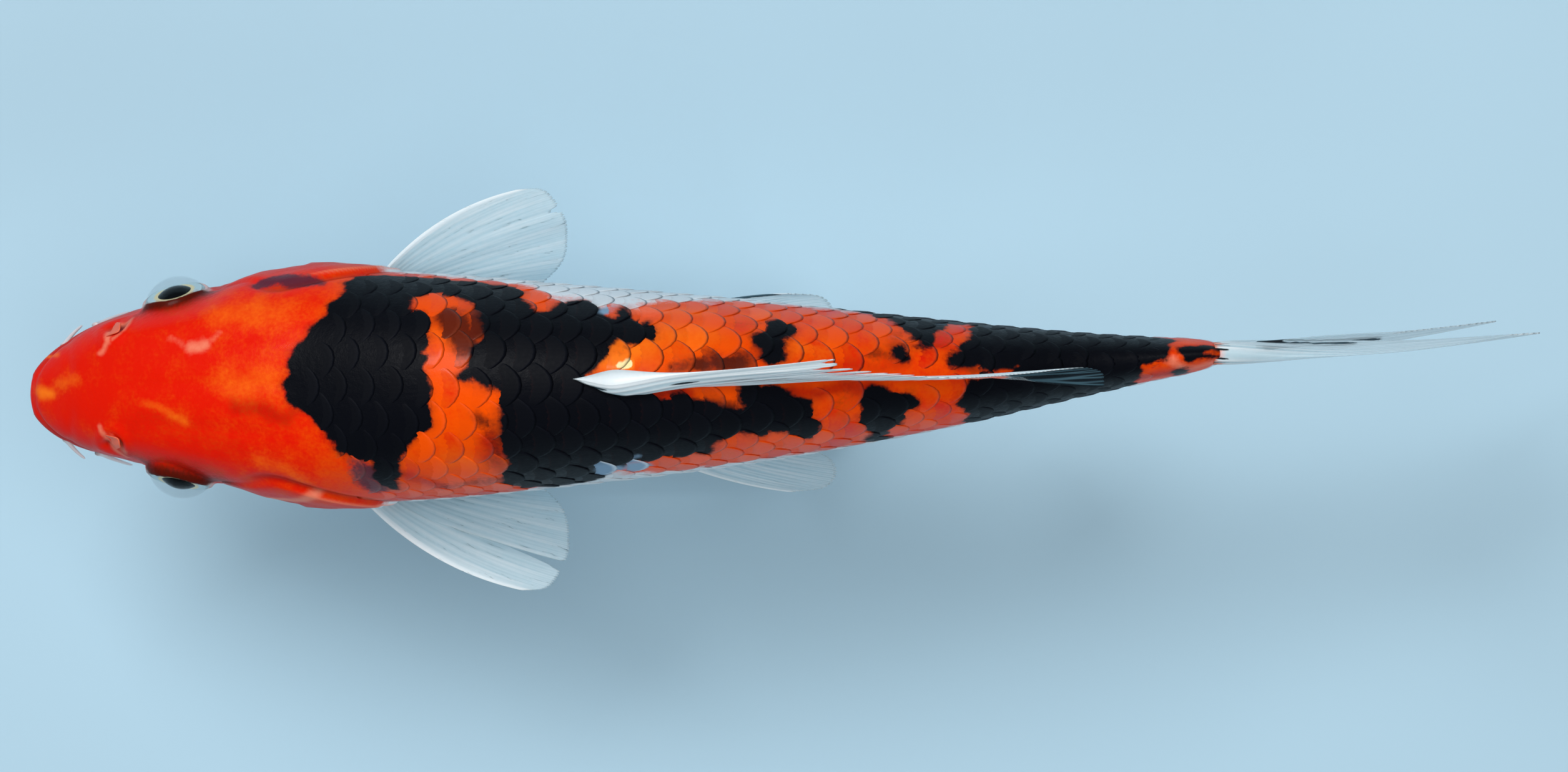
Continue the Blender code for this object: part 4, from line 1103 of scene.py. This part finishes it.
def make_fins():
    def warm_root(strength, far):
        return lambda f, s: strength * (1 - ease(s, 0, far))

    def sheath(f, s):
        u = 95 + 73 * f + 44 * s * (1 - f)
        front = (1.25 * (1 - ease(u, 100, 116)) + 0.45 - 0.32 * ease(u, 120, 142)) * ease(u, 94.5, 103)
        return front * (1 - ease(u, 145, 165)) * (1 - ease(s, 0.08, 0.6))

    make_fin(
        "dorsal_fin", dorsal_edge, 21, slits=0.45, swell=sheath,
        veil=lambda f, s: 0.9 - 0.9 * ease(f, 0.84, 0.9)
        - 0.8 * bump(f, 0.26, 0.18) * ease(s, 0.2, 0.5) * (1 - ray_ridge(f, s, 21)),
        flush=lambda f, s: 0.8 * (1 - ease(s, 0, 0.12)) * ease(f, 0.25, 0.4),
        darkening=lambda f, s: np.maximum(
            ease(f, 0.87, 0.92) * ease(s, 0.2, 0.4) * (0.95 - 0.12 * ease(s, 0.65, 0.97)),
            1.3 * bump(f, 0.05, 0.012) * bump(s, 0.02, 0.03) + bump(f, 0.105, 0.010) * bump(s, 0.29, 0.07),
        ),
        ragged=lambda f, s: 0.42 * bump(f, 0.26, 0.16),
    )
    make_fin("anal_fin", anal_edge, 7, veil=0.45, slits=0.5, flush=warm_root(0.6, 0.25))

    def stem_swell(f, s):
        round_edge = np.sqrt(1 - np.clip((f - 0.72) / 0.28, 0, 0.995) ** 2)
        return 1.6 * (1 - ease(s, 0, 0.5)) * (0.35 + 0.65 * ease(f, 0, 0.15)) * round_edge

    for name, sign, tip_u, tip_z, turn, line in (
        ("upper", 1, 257.5, 27.5, 5.1, UPPER_SHADE_LINE), ("lower", -1, 256.0, 26.5, 7.6, LOWER_SHADE_LINE),
    ):
        make_fin(
            f"tail_fin_{name}", tail_edge(sign, tip_u, tip_z, turn), 10, veil=0.4, slits=0.4, thick=0.7,
            leading=0, swell=stem_swell,
            flush=lambda f, s: 0.7 * (1 - ease(s, 0.0, 0.05 + 0.03 * np.sin(f * 90))),
            # Black streaks at the root, and along the lobe a line of painted shade between the two lobes.
            darkening=lambda f, s, line=line: np.maximum(
                bump(np.sin(f * 130), 1, 0.55) * (1 - ease(s, 0.02, 0.08)), line(f, s),
            ),
        )
    for side, sign, split, spread in (("right", 1, 0.06, 0.0), ("left", -1, 0.44, 1.6)):
        make_fin(
            f"pectoral_fin_{side}", pectoral_edge(sign, split, spread), 14, slits=0.85, thick=0.42,
            ribbed=0.06, veil=lambda f, s: 0.64 - 0.12 * ease(s, 0.6, 1.0), flush=warm_root(0.3, 0.05),
        )
    for side, sign, out, dark in (("right", 1, 15.4, 1), ("left", -1, 20.0, 0)):
        make_fin(
            f"pelvic_fin_{side}", pelvic_edge(sign, out), 9, veil=0.5, slits=0.7, ribbed=0.14,
            flush=warm_root(0.3, 0.12),
            darkening=lambda f, s, dark=dark: (
                dark * bump(f, 0.03, 0.05) * ease(s, 0.3, 0.5) * (1 - ease(s, 0.9, 1.0))
            ),
        )


# ---- eyes, nostrils, feelers ----
def make_disc(name, middle, axes, rings, material, out=None):
    """A closed round piece about a look direction, turned from rings of (radius, distance out).

    The first and the last of the rings lie on the axis.
    """
    look, rise, back = axes
    turn = np.linspace(0, 2 * math.pi, EYE_COLUMNS, endpoint=False)
    spoke = np.cos(turn)[:, None] * rise + np.sin(turn)[:, None] * back
    points = np.stack([middle + look * far + radius * spoke for radius, far in rings[1:-1]])
    ends = np.stack([middle + look * far for _, far in (rings[0], rings[-1])])
    rows = len(points)
    fields = {"up": np.concatenate([np.tile(np.cos(turn), rows), [0, 0]])}
    if out is not None:
        fields["out"] = np.concatenate([np.repeat(out[1:-1], EYE_COLUMNS), [out[0], out[-1]]])
    return make_piece(
        name, np.concatenate([points.reshape(-1, 3), ends]), quads_of(rows, EYE_COLUMNS, wrapped=True),
        tube_ends(rows, EYE_COLUMNS), fields, material=material,
    )


def cap(radius, start, end, count):
    """Profile of a ball's cap between two angles from its pole."""
    angle = np.radians(np.linspace(start, end, count))
    return [(radius * math.sin(a), radius * math.cos(a)) for a in angle]


def iris_paint():
    """Cream round the pupil, silver outside it, gold and then brown towards the brow."""
    paint = Paint("eye_iris", Roughness=0.3, Metallic=0.25)
    grain = paint.noise(0.8, 4.0)
    out = paint.field("out") + grain * 0.25
    shaded = paint.step(paint.field("up") + grain * 0.9, 0.2, 0.8)
    base = paint.cover(colour(244, 226, 170), out, 0.05, 0.35, 1.0, colour(196, 224, 232))
    base = paint.mix(shaded * paint.step(out, 0.1, 0.3) * 0.95, base, colour(206, 142, 48))
    base = paint.mix(shaded * paint.step(out, 0.3, 0.7) * 0.9, base, colour(104, 52, 18))
    base = paint.cover(base, out, 0.85, 1.0, 0.5, colour(104, 120, 126))
    paint.set(Base_Color=base)
    return paint.material


def ball_paint():
    """The ball round the iris: pale blue, gold and then brown towards the brow."""
    paint = Paint("eye_ball", Roughness=0.25, Coat_Weight=0.3)
    up = paint.field("up") + paint.noise(0.9, 4.0) * 0.7
    base = paint.cover(colour(164, 196, 208), up, -0.1, 0.6, 1.0, colour(176, 108, 44))
    base = paint.cover(base, up, 0.45, 1.0, 0.85, colour(74, 34, 14))
    paint.set(Base_Color=base)
    return paint.material


def make_eyes():
    """Each eye: a ball cut off in front, the iris on its face, the pupil's lens and a clear cornea."""
    iris, white = iris_paint(), ball_paint()
    pupil = plain("eye_pupil", colour(2, 2, 3), Roughness=0.08, Specular_IOR_Level=0.12)
    clear = plain("eye_cornea", colour(40, 50, 56), Roughness=0.03, Alpha=0.05, IOR=1.38)
    ball_radius = EYE_RADIUS - 0.08
    edge = math.degrees(math.acos(IRIS_OUT / ball_radius))
    ball = [(0, IRIS_OUT)] + cap(ball_radius, edge, 178, 40) + [(0, -ball_radius)]

    outer = EYE_RADIUS * math.sin(math.radians(edge)) - 0.25
    radii = np.linspace(PUPIL_RADIUS - 0.05, outer, 14)
    share = (radii - radii[0]) / (outer - radii[0])
    face = [(r, IRIS_OUT + 0.32 - 0.28 * k + 0.05 * math.sin(9 * k)) for r, k in zip(radii, share)]
    disc = [(0, IRIS_OUT + 0.02)] + face + [(outer, IRIS_OUT - 0.3), (0, IRIS_OUT - 0.3)]

    top = IRIS_OUT + LENS_RISE
    lens = cap(LENS_RADIUS, 0, math.degrees(math.asin(PUPIL_RADIUS / LENS_RADIUS)), 16)
    lens = [(r, top - LENS_RADIUS + z) for r, z in lens]
    lens += [(PUPIL_RADIUS - 0.2, IRIS_OUT - 0.15), (0, IRIS_OUT - 0.15)]

    cornea = cap(EYE_RADIUS + 0.03, 0, edge + 4, 24)
    cornea += [(r, z - 0.15) for r, z in cornea[::-1]]
    for side, sign in (("right", 1), ("left", -1)):
        middle, axes = eye_middle(sign), eye_axes(sign)
        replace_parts(make_disc(f"eyeball_{side}", middle, axes, ball, white), f"eye_{side}")
        make_disc(f"iris_{side}", middle, axes, disc, iris, [0.0, *share, 1.0, 1.0])
        make_disc(f"pupil_{side}", middle, axes, lens, pupil)
        make_disc(f"cornea_{side}", middle, axes, cornea, clear)


def make_nostrils():
    """The flap between the two openings of each nostril: a little curled petal standing across the snout."""
    flesh = plain("nostril_flap", colour(246, 112, 78), Roughness=0.5, Alpha=0.9)
    for side, (u0, g0) in NOSTRILS.items():
        sign = 1 if g0 > 0 else -1
        across, up = np.linspace(-1, 1, 41), np.linspace(0, 1, 13)[:, None]
        curl = 0.8 * ease(across, 0.35, 1.0)
        lean = up * (1 - across**2) ** 0.7
        u = u0 + 1.5 * across - curl * 1.5 + 1.9 * lean - 0.25 * np.sin(4 * across)
        g = g0 + sign * (2.3 * across - 0.8 * curl - 1.2 * lean)
        t = angle_at(u, g)
        height = -0.35 + up * 1.0 * (1 - across**4) ** 0.6 + 0.12 * np.sin(6 * across) * up
        middle = body_surface(u, t) + body_normal(u, t) * height[..., None]
        points, quads = closed_sheet(middle, 0.16 * (1 - 0.5 * up) * (1 - 0.6 * across**2))
        make_piece(f"nostril_flap_{side}", points, quads, material=flesh)


def tube(path, radii):
    """A closed round tube along a path, its rings square to it."""
    rows, columns = len(path), FEELER_COLUMNS
    along = unit(np.gradient(path, axis=0))
    side = unit(np.cross(along, [0.0, 0.0, 1.0]))
    up = np.cross(side, along)
    turn = np.linspace(0, 2 * math.pi, columns, endpoint=False)[:, None]
    ring = np.cos(turn) * side[:, None] + np.sin(turn) * up[:, None]
    points = path[:, None] + ring * radii[:, None, None]
    points = np.concatenate([points.reshape(-1, 3), path[[0, -1]]])
    return points, quads_of(rows, columns, wrapped=True), tube_ends(rows, columns)


def make_feelers():
    flesh = plain("feeler", colour(222, 216, 220), Roughness=0.35, Coat_Weight=0.4, Alpha=0.95)
    for name, u0, degrees, length, lean in (
        ("front", 5.0, 108.0, 4.8, (0.5, 0.8, -0.45)), ("rear", 10.5, 106.0, 7.4, (0.55, 0.33, -0.7)),
    ):
        for side, sign in (("right", 1), ("left", -1)):
            f = np.linspace(0, 1, FEELER_RINGS)
            u, t = np.array([u0]), np.array([math.radians(sign * degrees)])
            root = body_surface(u, t)[0] + body_normal(u, t)[0] * 0.1
            way = unit(np.array([lean[0], sign * lean[1], lean[2]]))
            path = root + length * (way * f[:, None] + np.array([0.12, 0, -0.22]) * (f**2)[:, None])
            path[:, 0] += 0.16 * length * (f**2 - f)
            tip = np.sqrt(np.clip(1 - ((f - 0.9) / 0.101) ** 2 * (f > 0.9), 0.02, 1))
            points, quads, triangles = tube(path, (0.5 - 0.3 * f + 0.25 * bump(f, 0, 0.12)) * tip)
            piece = make_piece(
                f"feeler_{name}_{side}", points, quads, triangles, material=flesh,
            )
            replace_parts(piece, f"barbel_{name}_{side}")


# ---- stand, floor, light ----
FLOOR_SIZE, FLOOR_GAP = 6.0, 0.0002
FISH_MIDDLE = (0, 0, 0.07)
CAMERA_HEIGHT = 1017  # in millimetres over the body's axis
CAMERA_TURN = -1.2185  # in degrees, as the fish lies a little askew in the view


def finish_stand():
    """The stand keeps its own form and takes its finish."""
    base = Paint("stand_base_satin", Roughness=0.42, Coat_Weight=0.2)
    grain = base.noise(0.8, 4.0)
    shade = base.cover(colour(206, 208, 208), grain, -0.5, 0.5, 1.0, colour(222, 223, 222))
    base.set(Base_Color=shade, Roughness=0.42 + grain * 0.1)
    rod = plain("stand_rod_steel", colour(190, 194, 198), Roughness=0.28, Metallic=1.0)
    for node, material in (("stand_base", base.material), ("stand_rod_front", rod), ("stand_rod_rear", rod)):
        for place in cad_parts[node].material_slots:
            place.link = "OBJECT"
            place.material = material


def make_floor():
    bpy.ops.mesh.primitive_plane_add(size=FLOOR_SIZE, location=(0, 0, CAD_BOX[0][2] - FLOOR_GAP))
    floor = bpy.context.object
    floor.name = "floor"
    floor.data.materials.append(plain("floor_paper", colour(178, 210, 227), Roughness=0.9))


def light(name, place, size, power, mirrored=False):
    """A soft rectangular light aimed at the fish. Only a mirrored one shows in glossy surfaces."""
    data = bpy.data.lights.new(name, "AREA")
    data.shape, data.size, data.size_y = "RECTANGLE", size[0], size[1]
    data.energy = power
    lamp = bpy.data.objects.new(name, data)
    bpy.context.scene.collection.objects.link(lamp)
    lamp.location = place
    lamp.rotation_euler = (Vector(FISH_MIDDLE) - Vector(place)).to_track_quat("-Z", "Y").to_euler()
    lamp.visible_glossy = mirrored


def set_scene():
    """The camera hangs over the fish's back and looks straight down."""
    make_floor()
    light("key_light", (-0.35, 0.45, 0.95), (0.5, 0.35), 6.5, mirrored=True)
    light("fill_light", (0.5, -0.7, 0.8), (0.9, 0.6), 3.5)
    light("top_light", (0.1, 0.1, 1.6), (1.2, 0.8), 9)
    world = bpy.data.worlds.new("studio")
    world.use_nodes = True
    sky = world.node_tree.nodes["Background"].inputs
    sky["Color"].default_value, sky["Strength"].default_value = (0.9, 0.95, 1.0, 1), 0.15
    scene = bpy.context.scene
    scene.world = world
    scene.view_settings.view_transform = "Standard"
    data = bpy.data.cameras.new("camera")
    data.lens, data.sensor_width = 135, 36
    camera = bpy.data.objects.new("camera", data)
    scene.collection.objects.link(camera)
    camera.location = (np.array([130.4, -1.1, CAMERA_HEIGHT]) + ORIGIN) * MM
    camera.rotation_euler = (0, 0, math.radians(CAMERA_TURN))
    scene.camera = camera


FIN = fin_paint()
make_skin(skin_paint())
make_scales(scale_paint())
make_fins()
make_eyes()
make_nostrils()
make_feelers()
finish_stand()
set_scene()
